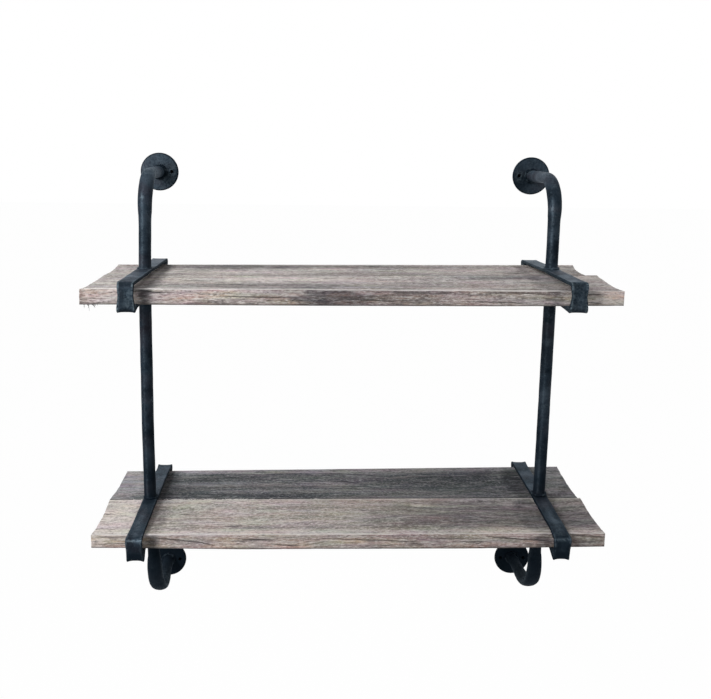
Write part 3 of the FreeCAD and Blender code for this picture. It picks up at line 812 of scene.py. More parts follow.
def bead_rings(leg, ripples, seed):
    """A bead round a tube on the Z axis, standing on z = 0, as rings of points."""
    generator = np.random.default_rng(seed)
    turns = np.linspace(0, 2 * math.pi, BEAD_STEPS, endpoint=False)
    phase = turns * ripples / (2 * math.pi) + 0.25 * np.sin(turns * 3 + seed)
    ripple = 1 - (phase % 1.0)
    uneven = sum(generator.uniform(0.03, 0.07) * np.sin(turns * count + generator.uniform(0, 6))
                 for count in (2, 3, 5))
    size = leg * (0.86 + 0.16 * ripple + uneven)
    rings = np.empty((BEAD_STEPS, BEAD_PROFILE, 3))
    for step in range(BEAD_PROFILE):
        angle = math.pi / 2 * step / (BEAD_PROFILE - 1)
        outward = TUBE_RADIUS - 0.0002 + size * math.cos(angle) ** 0.8
        rings[:, step, 0] = outward * np.cos(turns)
        rings[:, step, 1] = outward * np.sin(turns)
        rings[:, step, 2] = size * math.sin(angle) ** 0.8 - 0.0001
    return rings


def gather(points, faces, placing, more_points, more_faces):
    """Adds a copy of a shape, moved by placing, to the points and faces of a growing one."""
    first = len(points)
    points += [placing @ Vector(point) for point in more_points]
    faces += [tuple(first + corner for corner in face) for face in more_faces]


for side in SIDES:
    # Where each bead stands, how far it is tilted, its leg and its number of ripples.
    beads = []
    for level in ("upper", "lower"):
        loop_low, loop_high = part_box(side + "_" + level + "_loop")
        flange_low, flange_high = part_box(side + "_" + level + "_flange")
        loop_x = (loop_low.x + loop_high.x) / 2
        over_loop = (loop_x, tube_y[side], loop_high.z + bar_lift(side, level, tube_y[side], 1))
        under_loop = (loop_x, tube_y[side], loop_low.z + bar_lift(side, level, tube_y[side], 0))
        on_flange = (loop_x, flange_low.y, (flange_low.z + flange_high.z) / 2)
        beads += [(over_loop, 0, TOP_BEAD_LEG[side], LOOP_RIPPLES),
                  (under_loop, math.pi, LOOP_BEAD_LEG, LOOP_RIPPLES),
                  (on_flange, math.pi / 2, FLANGE_BEAD_LEG, FLANGE_RIPPLES)]
    points, faces = [], []
    for number, (place, tilt, leg, ripples) in enumerate(beads):
        placing = Matrix.Translation(place) @ Matrix.Rotation(tilt, 4, "X")
        gather(points, faces, placing, *skin(bead_rings(leg, ripples, 70 + number), closed=True))
    mesh = mesh_of(side + "_weld_ripples", points, faces)
    spots = np.array([tuple(point) for point in points])
    # The beads by the flanges and on the lower loops are painted dark as shade; those on the upper loops
    # are a little sooty.
    shaded_by_wall = spots[:, 1] > -0.02
    paint(mesh, "wear_and_highlight", np.clip(wander(spots, 300, 5) * 0.3, 0, 0.2))
    paint(mesh, "soot_and_shade", np.where(shaded_by_wall, 0.95, np.where(spots[:, 2] > 0, 0.35, 0.85)))
    add_piece(side + "_weld_ripples", mesh, blackened_steel, "blackened_steel", side + "_weld_beads")


# ------------------------------------------------------------------ reclaimed planks
# Two old boards lie side by side on each pair of loops, sawn off by hand at slightly different
# lengths. Softwood that has weathered hollow and grey, with raised grain, checks and chipped edges.
# How far from an edge the nearest points of a board lie, and the steps between the others along it,
# across it and up it.
EDGE_STEPS = (0.0, 0.00022, 0.0005, 0.0009, 0.0015, 0.0024)
LENGTH_STEP = 0.0032
GRAIN_STEP = 0.0012
LAYER_STEP = 0.0007
# How round an arris is at least, and how far the top has weathered hollow across its width.
ARRIS_ROUND = 0.00045
DISH = 0.0016
# How deep the grain, the wider hollows and the torn ends are.
GRAIN_DEPTH = 0.00036
HOLLOW_DEPTH = 0.0003
TORN_DEPTH = 0.0007
# How far the wear of an upper arris reaches on the top and on the side, and how far painted shade
# reaches along a seam and up from the lower arris.
WORN_TOP = 0.0045
WORN_SIDE = 0.0011
SEAM_SHADE_REACH = 0.0016
UNDERSIDE_SHADE_HEIGHT = 0.0021
# Tones from the darkest to the palest.
UPPER_TONES = [(0.050, 0.046, 0.047, 1), (0.215, 0.190, 0.182, 1), (0.37, 0.335, 0.320, 1),
               (0.50, 0.465, 0.445, 1), (0.68, 0.650, 0.630, 1)]
# The lower back board's tones are dark partly as painted shade of the upper shelf.
GREY_SHADED_TONES = [(0.020, 0.023, 0.027, 1), (0.062, 0.070, 0.078, 1), (0.125, 0.133, 0.138, 1),
              (0.210, 0.208, 0.205, 1), (0.42, 0.415, 0.425, 1)]
PALE_TONES = [(0.050, 0.045, 0.046, 1), (0.220, 0.195, 0.182, 1), (0.40, 0.365, 0.335, 1),
              (0.52, 0.475, 0.440, 1), (0.68, 0.640, 0.610, 1)]
PALE_ARRIS = (0.74, 0.71, 0.695, 1)
GREY_ARRIS = (0.36, 0.36, 0.355, 1)
# What the wood's colour is multiplied by where it is soiled or painted with shadow, where it is rusty, and
# on the front edges, which the lower boards' cast also darkens as painted shade.
STAIN_SHADE = (0.26, 0.275, 0.30, 1)
RUST_SHADE = (1.20, 0.98, 0.83, 1)
UPPER_CAST = (0.99, 0.885, 0.86, 1)
LOWER_CAST_AND_SHADE = (0.76, 0.67, 0.655, 1)


def divisions(length, step):
    """Positions from 0 to length, closer together near the two ends."""
    inside = np.linspace(EDGE_STEPS[-1], length - EDGE_STEPS[-1],
                         max(2, round((length - 2 * EDGE_STEPS[-1]) / step)) + 1)
    edge = np.array(EDGE_STEPS[:-1])
    return np.concatenate([edge, inside, (length - edge)[::-1]])


def lattice(counts):
    """Which points of a box's grid lie on its skin, as index arrays, and the quads of that skin."""
    number = np.full(counts, -1)
    outside = np.zeros(counts, bool)
    outside[[0, -1]] = True
    outside[:, [0, -1]] = True
    outside[:, :, [0, -1]] = True
    number[outside] = np.arange(outside.sum())
    quads = []
    for sheet, turned in ((number[0], True), (number[-1], False), (number[:, 0], False),
                          (number[:, -1], True), (number[:, :, 0], True), (number[:, :, -1], False)):
        corners = (sheet[:-1, :-1], sheet[1:, :-1], sheet[1:, 1:], sheet[:-1, 1:])
        four = np.stack(corners[::-1] if turned else corners, axis=-1)
        quads.append(four.reshape(-1, 4))
    return np.nonzero(outside), np.concatenate(quads)


def plank_mesh(node, left_cut, right_cut, checks, zones, chips, twist, belly, pale_edges, seed):
    """A weathered board in the box of its solid. In mm, cuts are (share of width, depth) pairs,
    checks are (face, from x, to x, from place, to place, half width, depth) and zones are
    (face, x, place, half length, half width, amount), where a negative amount is a stain or a painted
    shadow and a positive one is paler wood or painted light. Chips is how deep the arrises are
    chipped, in m. Twist is how far the right end's front and back corners have risen, belly is how
    far the front's lower arris hangs at five places along, both in mm, and pale edges says how worn
    the front and back upper arrises are."""
    source = np.array([vertex.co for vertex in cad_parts[node].data.vertices])
    low, high = source.min(0), source.max(0)
    size = high - low
    # Where the solid's front and back edges begin and end.
    ends = []
    for edge_y in (low[1], high[1]):
        beside = source[np.abs(source[:, 1] - edge_y) < 0.004]
        ends.append((beside[:, 0].min(), beside[:, 0].max()))
    rows = divisions(size[0], LENGTH_STEP) / size[0]
    columns = divisions(size[1], GRAIN_STEP) / size[1]
    layers = divisions(size[2], LAYER_STEP) / size[2]
    (i, j, k), quads = lattice((len(rows), len(columns), len(layers)))
    along, across, up = rows[i], columns[j], layers[k]
    flat = np.column_stack([along * size[0], across * size[1], up * size[2]])
    x = (low[0] + flat[:, 0]) * 1000
    y = (low[1] + flat[:, 1]) * 1000
    z = flat[:, 2] * 1000

    chipped = np.clip(wander(flat, (22, 150, 150), seed) - 0.30, 0, 1) * chips
    chipped += np.clip(wander(flat, (110, 150, 150), seed + 1) - 0.40, 0, 1) * chips * 0.8
    round_by = (ARRIS_ROUND + chipped)[:, None]
    inner = np.clip(flat, round_by, size - round_by)
    reach = flat - inner
    length = np.linalg.norm(reach, axis=1)
    direction = reach / np.maximum(length, 1e-9)[:, None]
    shaped = inner + direction * round_by
    torn = np.abs(direction[:, 0])
    on_front = direction[:, 1] < -0.5

    ridges = (wander(flat, (5, 230, 230), seed + 2) + wander(flat, (11, 520, 520), seed + 3)) / 2
    hollows = wander(flat, (3.2, 26, 26), seed + 4)
    rough = (wander(flat, (60, 210, 380), seed + 5) + wander(flat, (60, 640, 700), seed + 6)) / 2
    sink = GRAIN_DEPTH * (1 - ridges) / 2 + HOLLOW_DEPTH * (1 - hollows) / 2
    sink += torn * TORN_DEPTH * (1 - rough) / 2
    check = np.zeros(len(flat))
    for face, start, stop, spot, end_spot, half, depth in checks:
        run = np.clip((x - start) / (stop - start), 0, 1)
        taper = np.sin(np.pi * run) ** 0.6
        line = spot + (end_spot - spot) * run
        line += wander(np.column_stack([x, x * 0, x * 0 + spot]), (0.05, 1, 1), seed + 7) * 0.7
        measure, on_face = (y, direction[:, 2] > 0.5) if face == "top" else (z, on_front)
        cut = np.clip(1 - (np.abs(measure - line) / (half * taper + 1e-6)) ** 2, 0, 1)
        cut *= on_face * (taper > 0.02)
        sink += cut * depth / 1000 * taper
        check = np.maximum(check, cut)
    shaped -= direction * sink[:, None]

    share_along = shaped[:, 0] / size[0]
    share_across = shaped[:, 1] / size[1]
    share_up = shaped[:, 2] / size[2]
    (front_left, front_right), (back_left, back_right) = ends
    left = front_left + (back_left - front_left) * share_across
    left += np.interp(share_across, *zip(*left_cut)) / 1000
    right = front_right + (back_right - front_right) * share_across
    right -= np.interp(share_across, *zip(*right_cut)) / 1000
    shaped[:, 0] = left + (right - left) * share_along
    shaped[:, 2] -= DISH * (1 - (2 * share_across - 1) ** 2) * share_up
    hang = np.interp(share_along, (0, 0.1, 0.3, 0.75, 1), belly) / 1000
    shaped[:, 2] -= hang * (1 - shaped[:, 2] / size[2]) * (1 - share_across) ** 2
    shaped[:, 2] += (twist[0] + (twist[1] - twist[0]) * share_across) / 1000 * share_along
    shaped[:, 1:] += low[1:]

    mesh = bpy.data.meshes.new(node + "_board")
    mesh.from_pydata(shaped.tolist(), [], quads.tolist())
    from_front, from_back = across * size[1], (1 - across) * size[1]
    from_base, from_top = up * size[2], (1 - up) * size[2]
    from_arris = np.hypot(np.minimum(from_front, from_back), np.minimum(from_base, from_top))
    pale = np.zeros(len(flat))
    # Painted shade along the front's lower arris and along the seams between boards.
    edge_shade = np.clip(1.3 - from_base / UNDERSIDE_SHADE_HEIGHT, 0, 1) * (from_front < 0.001)
    ragged = wander(flat, (60, 300, 300), seed + 11) * 0.35 + wander(flat, (14, 90, 90), seed + 12) * 0.4
    for amount, gap in zip(pale_edges, (from_front, from_back)):
        on_top = np.clip((WORN_TOP - gap) / 0.003 + ragged, 0, 1) * (from_top < 1e-5)
        on_side = np.clip((WORN_SIDE - from_top) / 0.0008 + ragged, 0, 1) * (gap < 0.0012)
        pale = np.maximum(pale, amount * np.maximum(on_top, on_side))
        if amount < 0.3:
            seam_shade = np.clip(1.3 - (gap + from_top) / SEAM_SHADE_REACH + ragged * 0.6, 0, 1)
            edge_shade = np.maximum(edge_shade, seam_shade * (1 - amount))
    tone = np.zeros(len(flat))
    far_ragged = wander(flat, (45, 260, 260), seed + 9) * 0.35
    for face, middle_x, middle, half_x, half, amount in zones:
        measure, on_face = (y, direction[:, 2] > -0.5) if face == "top" else (z, on_front)
        far = np.sqrt(((x - middle_x) / half_x) ** 2 + ((measure - middle) / half) ** 2)
        tone += on_face * amount * np.clip(1.5 - (far + far_ragged), 0, 1)
    paint(mesh, "arris", pale)
    paint(mesh, "facing", np.where(on_front, 1.0, 0.3))
    # The under layer is painted shade along the lower arris and the seams.
    paint(mesh, "under", edge_shade)
    paint(mesh, "sawn", np.clip(torn * 1.4 - 0.2, 0, 1))
    paint(mesh, "check", check)
    paint(mesh, "chip", np.clip(chipped / 0.0006, 0, 1) * (from_arris < 0.003))
    # Zones with negative amounts hold stains and painted shadows, and positive ones paler wood and painted
    # light.
    paint(mesh, "bleach_and_light", np.clip(tone, 0, 1))
    paint(mesh, "stain_and_shadow", np.clip(-tone, 0, 1))
    return mesh


def make_wood(name, tones, arris_tone, end_tone, seed, pith, blotches, tint, cast, fine, clouds):
    """Weathered softwood. Pith is where the rings' middle lies, y and z, blotches and tint are how
    strongly dark spots and stray hues show, cast is how the front edge's colour differs, partly as
    painted shade on the lower boards, and fine and clouds are how strongly the fibres and the cross-grain
    patches show."""
    wood = Finish(name)
    spread, times, blend = wood.spread, wood.times, wood.blend
    darkest, dark, middle, light, palest = tones
    shift = (seed * 1.7, seed * 0.9, seed * 2.3)
    drift = wood.noise((4.5, 12, 12), 3, shift=shift)["Color"]
    for kind, vector in (("SUBTRACT", (0.5, 0.5, 0.5)), ("MULTIPLY", (0.0, 0.040, 0.016)),
                         ("ADD", wood.add("TexCoord").outputs["Object"])):
        drift = wood.add("VectorMath", {0: drift, 1: vector}, operation=kind).outputs[0]

    def grain(scale, detail, roughness):
        """Noise along the drifting grain."""
        return wood.noise(scale, detail, roughness, shift=shift, source=drift)

    patches = grain((5.0, 24, 40), 4, 0.55)["Fac"]
    bands = grain((1.6, 85, 130), 3, 0.5)["Fac"]
    streaks = grain((38, 300, 380), 6, 0.72)["Fac"]
    fibres = grain((170, 640, 800), 4, 0.7)["Fac"]
    threads = grain((9, 330, 430), 4, 0.6)["Fac"]
    stains = grain((16, 60, 110), 4, 0.6)["Fac"]
    hues = grain((15, 75, 120), 3, 0.6)["Color"]
    grit = grain((300, 380, 460), 3, 0.6)["Fac"]
    embers = grain((22, 60, 160), 3, 0.6)["Fac"]
    patchy = grain((95, 60, 60), 4, 0.65)["Fac"]
    pores = wood.noise((300, 900, 900), 3, 0.6, shift=shift)["Fac"]
    place = wood.add("SeparateXYZ", {0: drift}).outputs
    off_y = wood.reckon("SUBTRACT", place[1], pith[0])
    off_z = wood.reckon("SUBTRACT", place[2], pith[1])
    radius = wood.reckon("SQRT", wood.reckon("ADD", times(off_y, off_y), times(off_z, off_z)))
    rings = wood.reckon("SINE", times(radius, 1700.0))
    rings = wood.reckon("POWER", spread(rings, -1, 1), 2.2)
    facing = wood.painted("facing")
    arris = wood.painted("arris")

    colour = wood.coat(
        dark,
        (spread(patches, 0.36, 0.52), middle),
        (spread(patches, 0.50, 0.66), light),
        (spread(bands, 0.47, 0.32, 0, 0.7), dark),
        (spread(bands, 0.53, 0.68, 0, 0.6), palest),
        (times(rings, 0.25), dark),
        # Paler wood, and painted light on the lower boards' ends.
        (times(wood.painted("bleach_and_light"), spread(streaks, 0.30, 0.55, 0.5, 1.0)), palest),
    )
    colour = blend(tint, colour, blend(1.0, colour, hues, "OVERLAY"))
    # The front faces take the cast, which on the lower boards is also painted shade.
    warm = blend(1.0, colour, cast, "MULTIPLY")
    rusty = blend(1.0, warm, RUST_SHADE, "MULTIPLY")
    warm = blend(spread(embers, 0.50, 0.66, 0, 0.65), warm, rusty)
    lying = wood.reckon("SUBTRACT", 1.0, facing)
    flecks = wood.reckon("SUBTRACT", 1.0, times(facing, 0.5))
    colour = wood.coat(
        colour,
        (facing, warm),
        (spread(streaks, 0.49, 0.32, 0, 0.95), dark),
        (spread(streaks, 0.53, 0.69, 0, 0.9), palest),
        (spread(fibres, 0.48, 0.30, 0, fine), darkest),
        (spread(fibres, 0.53, 0.66, 0, 0.9 * fine), palest),
        (times(spread(patchy, 0.48, 0.34, 0, clouds), lying), dark),
        (times(spread(patchy, 0.53, 0.68, 0, clouds), lying), palest),
        (times(spread(grit, 0.47, 0.33, 0, 0.6), flecks), dark),
        (times(spread(grit, 0.53, 0.68, 0, 0.6), flecks), palest),
        (spread(stains, 0.60, 0.72, 0, blotches), darkest),
    )
    stained_and_shaded = blend(1.0, colour, STAIN_SHADE, "MULTIPLY")
    stained_and_shaded = blend(spread(fibres, 0.50, 0.36, 0, 0.35), stained_and_shaded, darkest)
    end_grain = wood.coat(dark, (spread(pores, 0.35, 0.65), end_tone), (times(rings, 0.45), dark))
    colour = wood.coat(
        colour,
        # Stains, and painted shadows beside the loops and under the upper shelf.
        (times(wood.painted("stain_and_shadow"), spread(streaks, 0.62, 0.40, 0.7, 1.0)), stained_and_shaded),
        (spread(threads, 0.36, 0.30, 0, 0.9), darkest),
        (times(arris, spread(streaks, 0.30, 0.46, 0.5, 1.0)), arris_tone),
        # Painted shade along the lower front arris and the seams between boards.
        (times(wood.painted("under"), 0.85), darkest),
        (times(times(wood.painted("chip"), arris), 0.4), palest),
        (wood.painted("sawn"), end_grain),
        (times(wood.painted("check"), 0.9), darkest),
    )
    height = wood.reckon("ADD", times(streaks, 1.2), times(fibres, 0.5))
    height = wood.reckon("ADD", height, times(spread(threads, 0.30, 0.38), 0.5))
    height = wood.reckon("SUBTRACT", height, times(rings, 0.2))
    return wood.finish(0.8, 0.0012, height, {
        "Base Color": colour,
        "Roughness": spread(streaks, 0.35, 0.65, 0.94, 0.78),
        "Specular IOR Level": 0.2,
    })


# Each board's slot, what its wood is like and how it is shaped.
PLANKS = {
    "upper_front_plank": (
        "weathered_wood",
        make_wood("weathered_front_board", UPPER_TONES, PALE_ARRIS, (0.48, 0.40, 0.365, 1), seed=3,
                  pith=(-0.170, 0.215), blotches=0.6, tint=0.30, cast=UPPER_CAST, fine=1.0, clouds=0.65),
        dict(
            left_cut=[(0, 0), (0.02, 3), (0.18, 3), (0.4, 0.8), (0.7, 0.2), (1, 0)],
            right_cut=[(0, 0), (0.1, 1), (0.25, 2), (0.45, 1.6), (0.7, 0.4), (1, 0)],
            checks=[("front", -242, -205, 14.8, 13.2, 0.9, 1.2), ("front", -150, -60, 10.0, 8.0, 0.7, 1.4),
                    ("front", 20, 110, 14.6, 13.6, 0.6, 1.2), ("front", 140, 238, 14.4, 13.6, 0.6, 1.1),
                    ("front", 262, 292, 13.8, 13.4, 0.7, 1.1), ("front", 266, 286, 4.6, 2.6, 0.7, 1.1),
                    ("front", 120, 220, 5.5, 3.5, 0.5, 1.0), ("front", -20, 60, 7.0, 5.0, 0.6, 1.1),
                    ("top", -120, 40, -170, -168, 0.7, 1.1), ("top", 60, 230, -188, -190, 0.6, 1.0),
                    ("top", -290, -200, -140, -141, 0.7, 1.1)],
            # The zones beside the loops, at x -235, 232, -234 and 234, are painted shadows of the loops.
            zones=[("front", -20, 8, 32, 12, -2.2), ("front", 50, 9, 50, 14, -0.45),
                   ("front", -75, 9, 40, 14, -0.3), ("top", -60, -184, 80, 18, -0.65),
                   ("top", -170, -184, 60, 14, -0.55), ("top", -100, -140, 90, 14, 0.8),
                   ("top", 85, -178, 50, 20, -0.4), ("top", 180, -124, 60, 14, -0.45),
                   ("top", 190, -205, 50, 7, -0.5), ("front", -304, 9, 4, 12, -0.6),
                   ("front", -290, 9, 40, 12, 0.3), ("top", 200, -130, 60, 10, -0.4),
                   ("top", -30, -200, 130, 8, -0.35), ("top", -270, -165, 30, 40, 0.35),
                   ("top", 90, -205, 90, 6, 0.3), ("front", 290, 9, 40, 12, 0.8),
                   ("top", -235, -165, 9, 60, -0.7), ("top", 232, -165, 12, 60, -0.5),
                   ("front", -234, 10, 6, 14, -0.6), ("front", 234, 9, 6, 12, -0.5)],
            chips=0.0013, twist=(0.8, 4.2), belly=(1.3, 1.2, 1.6, 1.5, 0.1), pale_edges=(0.8, 0.1),
            seed=101),
    ),
    "upper_back_plank": (
        "weathered_wood",
        make_wood("weathered_back_board", UPPER_TONES, PALE_ARRIS, (0.42, 0.37, 0.34, 1), seed=7,
                  pith=(-0.055, 0.075), blotches=0.6, tint=0.34, cast=UPPER_CAST, fine=1.0, clouds=0.65),
        dict(
            left_cut=[(0, 0), (0.2, 0.3), (0.4, 0.8), (0.6, 0.6), (1, 0)],
            right_cut=[(0, 0), (0.35, 0.7), (0.65, 0.6), (0.85, -1.2), (1, -2.4)],
            checks=[("top", -60, 110, -60, -62, 0.7, 1.1), ("top", 130, 290, -38, -36, 0.6, 1.0),
                    ("top", 215, 226, -88, -88.5, 2.6, 0.8), ("top", 176, 190, -84, -84, 1.4, 0.8)],
            # The zones beside the loops, at x -237 and 236, are painted shadows of the loops.
            zones=[("top", 220, -88, 12, 7, -0.8), ("top", -150, -30, 110, 16, -0.75),
                   ("top", 70, -32, 120, 14, -0.6), ("top", -180, -76, 70, 16, 0.9),
                   ("top", 150, -72, 50, 14, 0.5), ("top", 40, -92, 100, 12, -0.35),
                   ("top", -237, -65, 6, 50, -0.8), ("top", 236, -65, 8, 50, -0.6)],
            chips=0.0012, twist=(4.2, 3.8), belly=(0, 0, 0, 0, 0), pale_edges=(0.1, 0.35), seed=121),
    ),
    "lower_back_plank": (
        "weathered_grey_wood",
        make_wood("weathered_grey_board", GREY_SHADED_TONES, GREY_ARRIS, (0.26, 0.26, 0.26, 1), seed=11,
                  pith=(-0.060, -0.230), blotches=0.5, tint=0.30, cast=LOWER_CAST_AND_SHADE, fine=0.7, clouds=0.1),
        dict(
            left_cut=[(0, 0), (0.15, 0.2), (0.32, 1.0), (0.45, 0.8), (0.7, 0.3), (1, 0)],
            right_cut=[(0, 0), (0.3, 0.8), (0.6, 0.3), (1, 0)],
            checks=[("top", -200, -30, -70, -72, 0.8, 1.3), ("top", 20, 200, -44, -42, 0.7, 1.2)],
            # The zones at x -234 and 232 are painted shadows of the loops, the dark one at x 190 is
            # painted shadow of the upper shelf, and the pale ones at the ends, x -292 and 285, are painted
            # light.
            zones=[("top", -292, -55, 34, 70, 0.9), ("top", 285, -55, 28, 60, 0.6),
                   ("top", 0, -18, 400, 8, 1.2), ("top", -120, -102, 140, 12, -0.6),
                   ("top", 190, -70, 120, 55, -0.5), ("top", -180, -42, 60, 8, -0.4),
                   ("top", -234, -65, 10, 50, -0.9), ("top", 232, -65, 10, 50, -0.7),
                   ("top", -100, -62, 120, 8, 0.45), ("top", -130, -86, 90, 6, 0.25)],
            chips=0.0012, twist=(1.7, 6.6), belly=(0, 0, 0, 0, 0), pale_edges=(0.1, 0.3), seed=141),
    ),
    "lower_front_plank": (
        "weathered_pale_wood",
        make_wood("weathered_pale_board", PALE_TONES, PALE_ARRIS, (0.56, 0.51, 0.47, 1), seed=17,
                  pith=(-0.165, -0.060), blotches=0.45, tint=0.32, cast=LOWER_CAST_AND_SHADE, fine=0.85, clouds=0.1),
        dict(
            left_cut=[(0, 0), (0.18, 0.7), (0.4, 1.4), (0.65, 1.5), (0.85, 0.3), (1, 0)],
            right_cut=[(0, 0.2), (0.2, 1), (0.5, 1.4), (0.8, 0.3), (1, 0)],
            checks=[("front", -230, -155, 14.0, 4.4, 0.8, 1.6), ("front", -130, -84, 11.4, 10.6, 0.9, 1.4),
                    ("front", -94, -60, 6.0, 3.8, 0.7, 1.3), ("front", 166, 212, 14.0, 9.8, 0.8, 1.5),
                    ("front", 203, 246, 10.2, 7.4, 0.6, 1.2), ("front", 124, 164, 9.2, 4.4, 0.6, 1.2),
                    ("front", 266, 310, 14.6, 12.4, 0.7, 1.2), ("front", -40, 90, 12.0, 8.0, 0.6, 1.2),
                    ("front", -300, -262, 14.4, 13.8, 0.6, 1.0), ("top", -30, 160, -150, -152, 0.7, 1.2),
                    ("top", -260, -140, -182, -176, 0.6, 1.0), ("top", -245, -170, -142, -138, 0.6, 1.0)],
            # The zones at x -233, 230, -232 and 234 are painted shadows of the loops, the dark ones on the
            # top at x 190 and 285 are painted shadow of the upper shelf, and the pale one at x -300 is
            # painted light.
            zones=[("top", 0, -208, 400, 9, 0.7), ("top", -138, -189.4, 8, 2, -1.2),
                   ("top", -300, -160, 60, 90, 1.0), ("top", 190, -160, 140, 50, -0.85),
                   ("top", 285, -170, 30, 50, -0.4), ("front", -190, 12, 60, 14, -0.25),
                   ("front", 290, 8, 60, 14, -0.25), ("front", -150, 12, 100, 3.5, -0.4),
                   ("front", 200, 9, 110, 12, -0.2), ("top", -233, -165, 9, 60, -0.9),
                   ("top", 230, -165, 12, 60, -0.6), ("top", -100, -176, 40, 8, 0.3),
                   ("front", -232, 10, 6, 14, -0.7), ("front", 234, 9, 8, 12, -0.8)],
            chips=0.0013, twist=(0.0, 1.7), belly=(-0.8, 0.0, 1.9, 2.0, 0.1), pale_edges=(0.5, 0.3),
            seed=161),
    ),
}

for node, (slot, wood, board) in PLANKS.items():
    add_piece(node + "_board", plank_mesh(node, **board), wood, slot, node)


# ------------------------------------------------------------------ splinters
# Torn fibres that the saw and the weather have lifted from the boards' arrises: a tuft under the
# upper front board's left corner, and pale slivers along the lower front board's back arris.
SPLINTER_STEPS = 5
# Where along the lower arris each fibre of the tuft starts, how far its tip lies from there to the
# right, inwards and down, and how thick it is, in mm. The board hangs a little under its solid there.
TUFT = [(-301.0, 1.0, 0.7, 5.62, 0.42), (-300.2, -0.6, 0.9, 4.26, 0.34), (-296.4, 1.6, 0.8, 8.68, 0.46),
        (-295.2, -0.8, 1.0, 5.62, 0.38), (-293.0, 4.2, 0.9, 3.92, 0.46), (-291.4, 3.4, 0.7, 4.94, 0.42),
        (-290.0, 2.6, 1.5, 3.24, 0.46), (-298.6, 2.8, 1.0, 2.90, 0.38), (-288.2, -1.2, 0.9, 4.43, 0.38),
        (-287.0, 1.6, 1.4, 2.56, 0.42)]
TUFT_BOW = (0.0004, 0, 0.0003)
# Most slivers lie on the left of the middle, where the seam is raggedest.
SLIVERS = 90
LEFT_SLIVERS = 66
SLIVER_THICKNESS = 0.00034
SLIVER_BOW = (0, 0, 0.0004)


def add_splinter(points, faces, root, tip, bow, thick):
    """A tapering fibre from root to tip, bowed by a vector at its middle."""
    root, tip, bow = Vector(root), Vector(tip), Vector(bow)
    across = (tip - root).cross(Vector((0.3, 0.5, 0.8))).normalized()
    beside = (tip - root).cross(across).normalized()
    first = len(points)
    for step in range(SPLINTER_STEPS + 1):
        share = step / SPLINTER_STEPS
        centre = root.lerp(tip, share) + bow * (4 * share * (1 - share))
        radius = thick * (1 - 0.85 * share)
        for corner in range(4):
            angle = math.pi / 2 * corner
            points.append(centre + across * (radius * math.cos(angle))
                          + beside * (radius * math.sin(angle)))
    for step in range(SPLINTER_STEPS):
        for corner in range(4):
            here = first + 4 * step + corner
            there = first + 4 * step + (corner + 1) % 4
            faces.append((here, there, there + 4, here + 4))
    last = first + 4 * SPLINTER_STEPS
    faces.append((first, first + 3, first + 2, first + 1))
    faces.append((last, last + 1, last + 2, last + 3))


def add_splinters(name, points, faces, layer, amount, plank):
    """Puts a bunch of fibres into the scene in the finish of its plank, painted all over."""
    slot, wood, _ = PLANKS[plank]
    mesh = mesh_of(name, points, faces)
    paint(mesh, layer, [amount] * len(points))
    add_piece(name, mesh, wood, slot)


low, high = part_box("upper_front_plank")
points, faces = [], []
for x, along, inwards, down, thick in TUFT:
    root = (x / 1000, low.y + 0.0012, low.z - 0.0005)
    tip = ((x + along) / 1000, low.y + inwards / 1000, low.z - down / 1000)
    add_splinter(points, faces, root, tip, TUFT_BOW, thick / 1000)
add_splinters("upper_front_plank_tuft", points, faces, "stain_and_shadow", 0.8, "upper_front_plank")

low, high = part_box("lower_front_plank")
points, faces = [], []
sliver_random = np.random.default_rng(9)
for number in range(SLIVERS):
    x = sliver_random.uniform(*((-0.236, -0.120) if number < LEFT_SLIVERS else (-0.29, 0.28)))
    root = (x, high.y - sliver_random.uniform(0.0006, 0.0026), high.z - 0.0008)
    tip = (x + sliver_random.uniform(-0.007, 0.010), high.y + sliver_random.uniform(-0.0012, 0.0010),
           high.z + sliver_random.uniform(0.0001, 0.0013))
    add_splinter(points, faces, root, tip, SLIVER_BOW, SLIVER_THICKNESS)
add_splinters("lower_front_plank_slivers", points, faces, "arris", 0.9, "lower_front_plank")


# ------------------------------------------------------------------ plank screws
# Each board is held to both loops by a pan-head screw driven up through the bar from below. Its
# black steel head has a cross recess and lies against the bar's underside.
SCREW_HEAD_RADIUS = 0.0042
SCREW_HEAD_HEIGHT = 0.0026
SCREW_SHANK_RADIUS = 0.002
SCREW_LENGTH = 0.015
SCREW_POINT = 0.004
RECESS_WIDTH = 0.00095
RECESS_REACH = 0.0024
RECESS_DEPTH = 0.0015
HEAD_GRID = 36


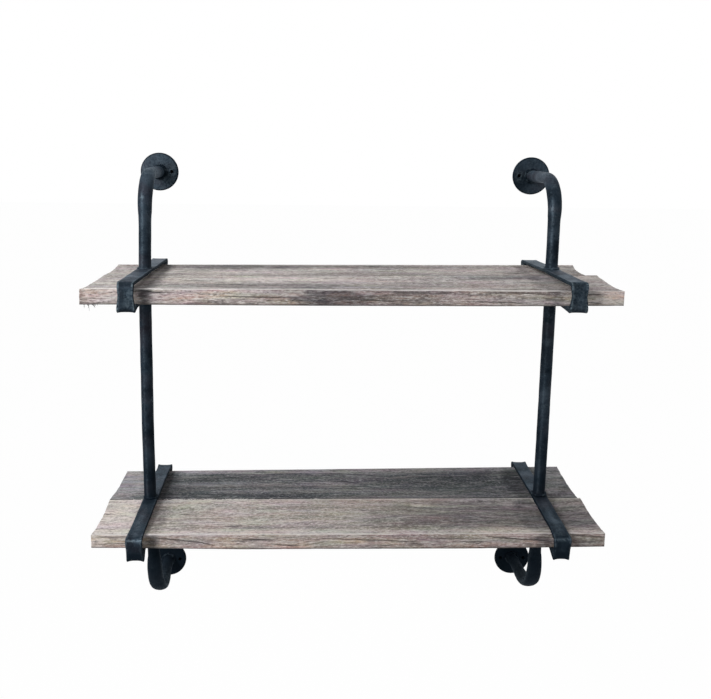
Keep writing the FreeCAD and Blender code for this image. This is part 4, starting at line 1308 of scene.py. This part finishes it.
def screw_parts():
    """Points and faces of a screw whose head lies under z = 0 and whose shank points up."""
    points, faces = [], []
    side_length = HEAD_GRID + 1
    lines = np.linspace(-1, 1, side_length)
    for u in lines:
        for v in lines:
            x = u * math.sqrt(1 - v * v / 2) * SCREW_HEAD_RADIUS
            y = v * math.sqrt(1 - u * u / 2) * SCREW_HEAD_RADIUS
            from_middle = math.hypot(x, y) / SCREW_HEAD_RADIUS
            depth = SCREW_HEAD_HEIGHT * (1 - 0.62 * from_middle ** 4)
            narrow, wide = min(abs(x), abs(y)), max(abs(x), abs(y))
            if narrow < RECESS_WIDTH / 2 and wide < RECESS_REACH:
                depth -= RECESS_DEPTH * (1 - wide / RECESS_REACH * 0.45)
            points.append((x, y, -depth))
    for row in range(HEAD_GRID):
        for column in range(HEAD_GRID):
            here = row * side_length + column
            faces.append((here, here + side_length, here + side_length + 1, here + 1))
    rim = (list(range(side_length))
           + [row * side_length + HEAD_GRID for row in range(1, side_length)]
           + [HEAD_GRID * side_length + column for column in range(HEAD_GRID - 1, -1, -1)]
           + [row * side_length for row in range(HEAD_GRID - 1, 0, -1)])
    rings = [rim]
    shank = SCREW_SHANK_RADIUS / SCREW_HEAD_RADIUS
    for scale, height in ((1.0, -0.0002), (0.97, 0.0), (shank, 0.0),
                          (shank, SCREW_LENGTH - SCREW_POINT), (0.04, SCREW_LENGTH)):
        first = len(points)
        points += [(points[corner][0] * scale, points[corner][1] * scale, height) for corner in rim]
        rings.append(list(range(first, first + len(rim))))
    for lower, upper in zip(rings, rings[1:]):
        for step in range(len(rim)):
            after = (step + 1) % len(rim)
            faces.append((lower[step], lower[after], upper[after], upper[step]))
    faces.append(tuple(rings[-1]))
    return points, faces


screw_steel = make_steel("screw_steel", lift=2.2)
screw = screw_parts()
for level in ("upper", "lower"):
    node = level + "_plank_screws"
    points, faces = [], []
    for side in SIDES:
        loop_low, loop_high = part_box(side + "_" + level + "_loop")
        for row in ("front", "back"):
            plank_low, plank_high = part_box(level + "_" + row + "_plank")
            y = (plank_low.y + plank_high.y) / 2
            place = ((loop_low.x + loop_high.x) / 2, y, loop_low.z + bar_lift(side, level, y, 0))
            turn = Matrix.Rotation(0.4 + 1.3 * len(points) % 3, 4, "Z")
            gather(points, faces, Matrix.Translation(place) @ turn, *screw)
    mesh = mesh_of(node + "_driven", points, faces)
    paint(mesh, "wear_and_highlight", [0.25] * len(points))
    add_piece(node + "_driven", mesh, screw_steel, "screw_steel", node, crease=35)
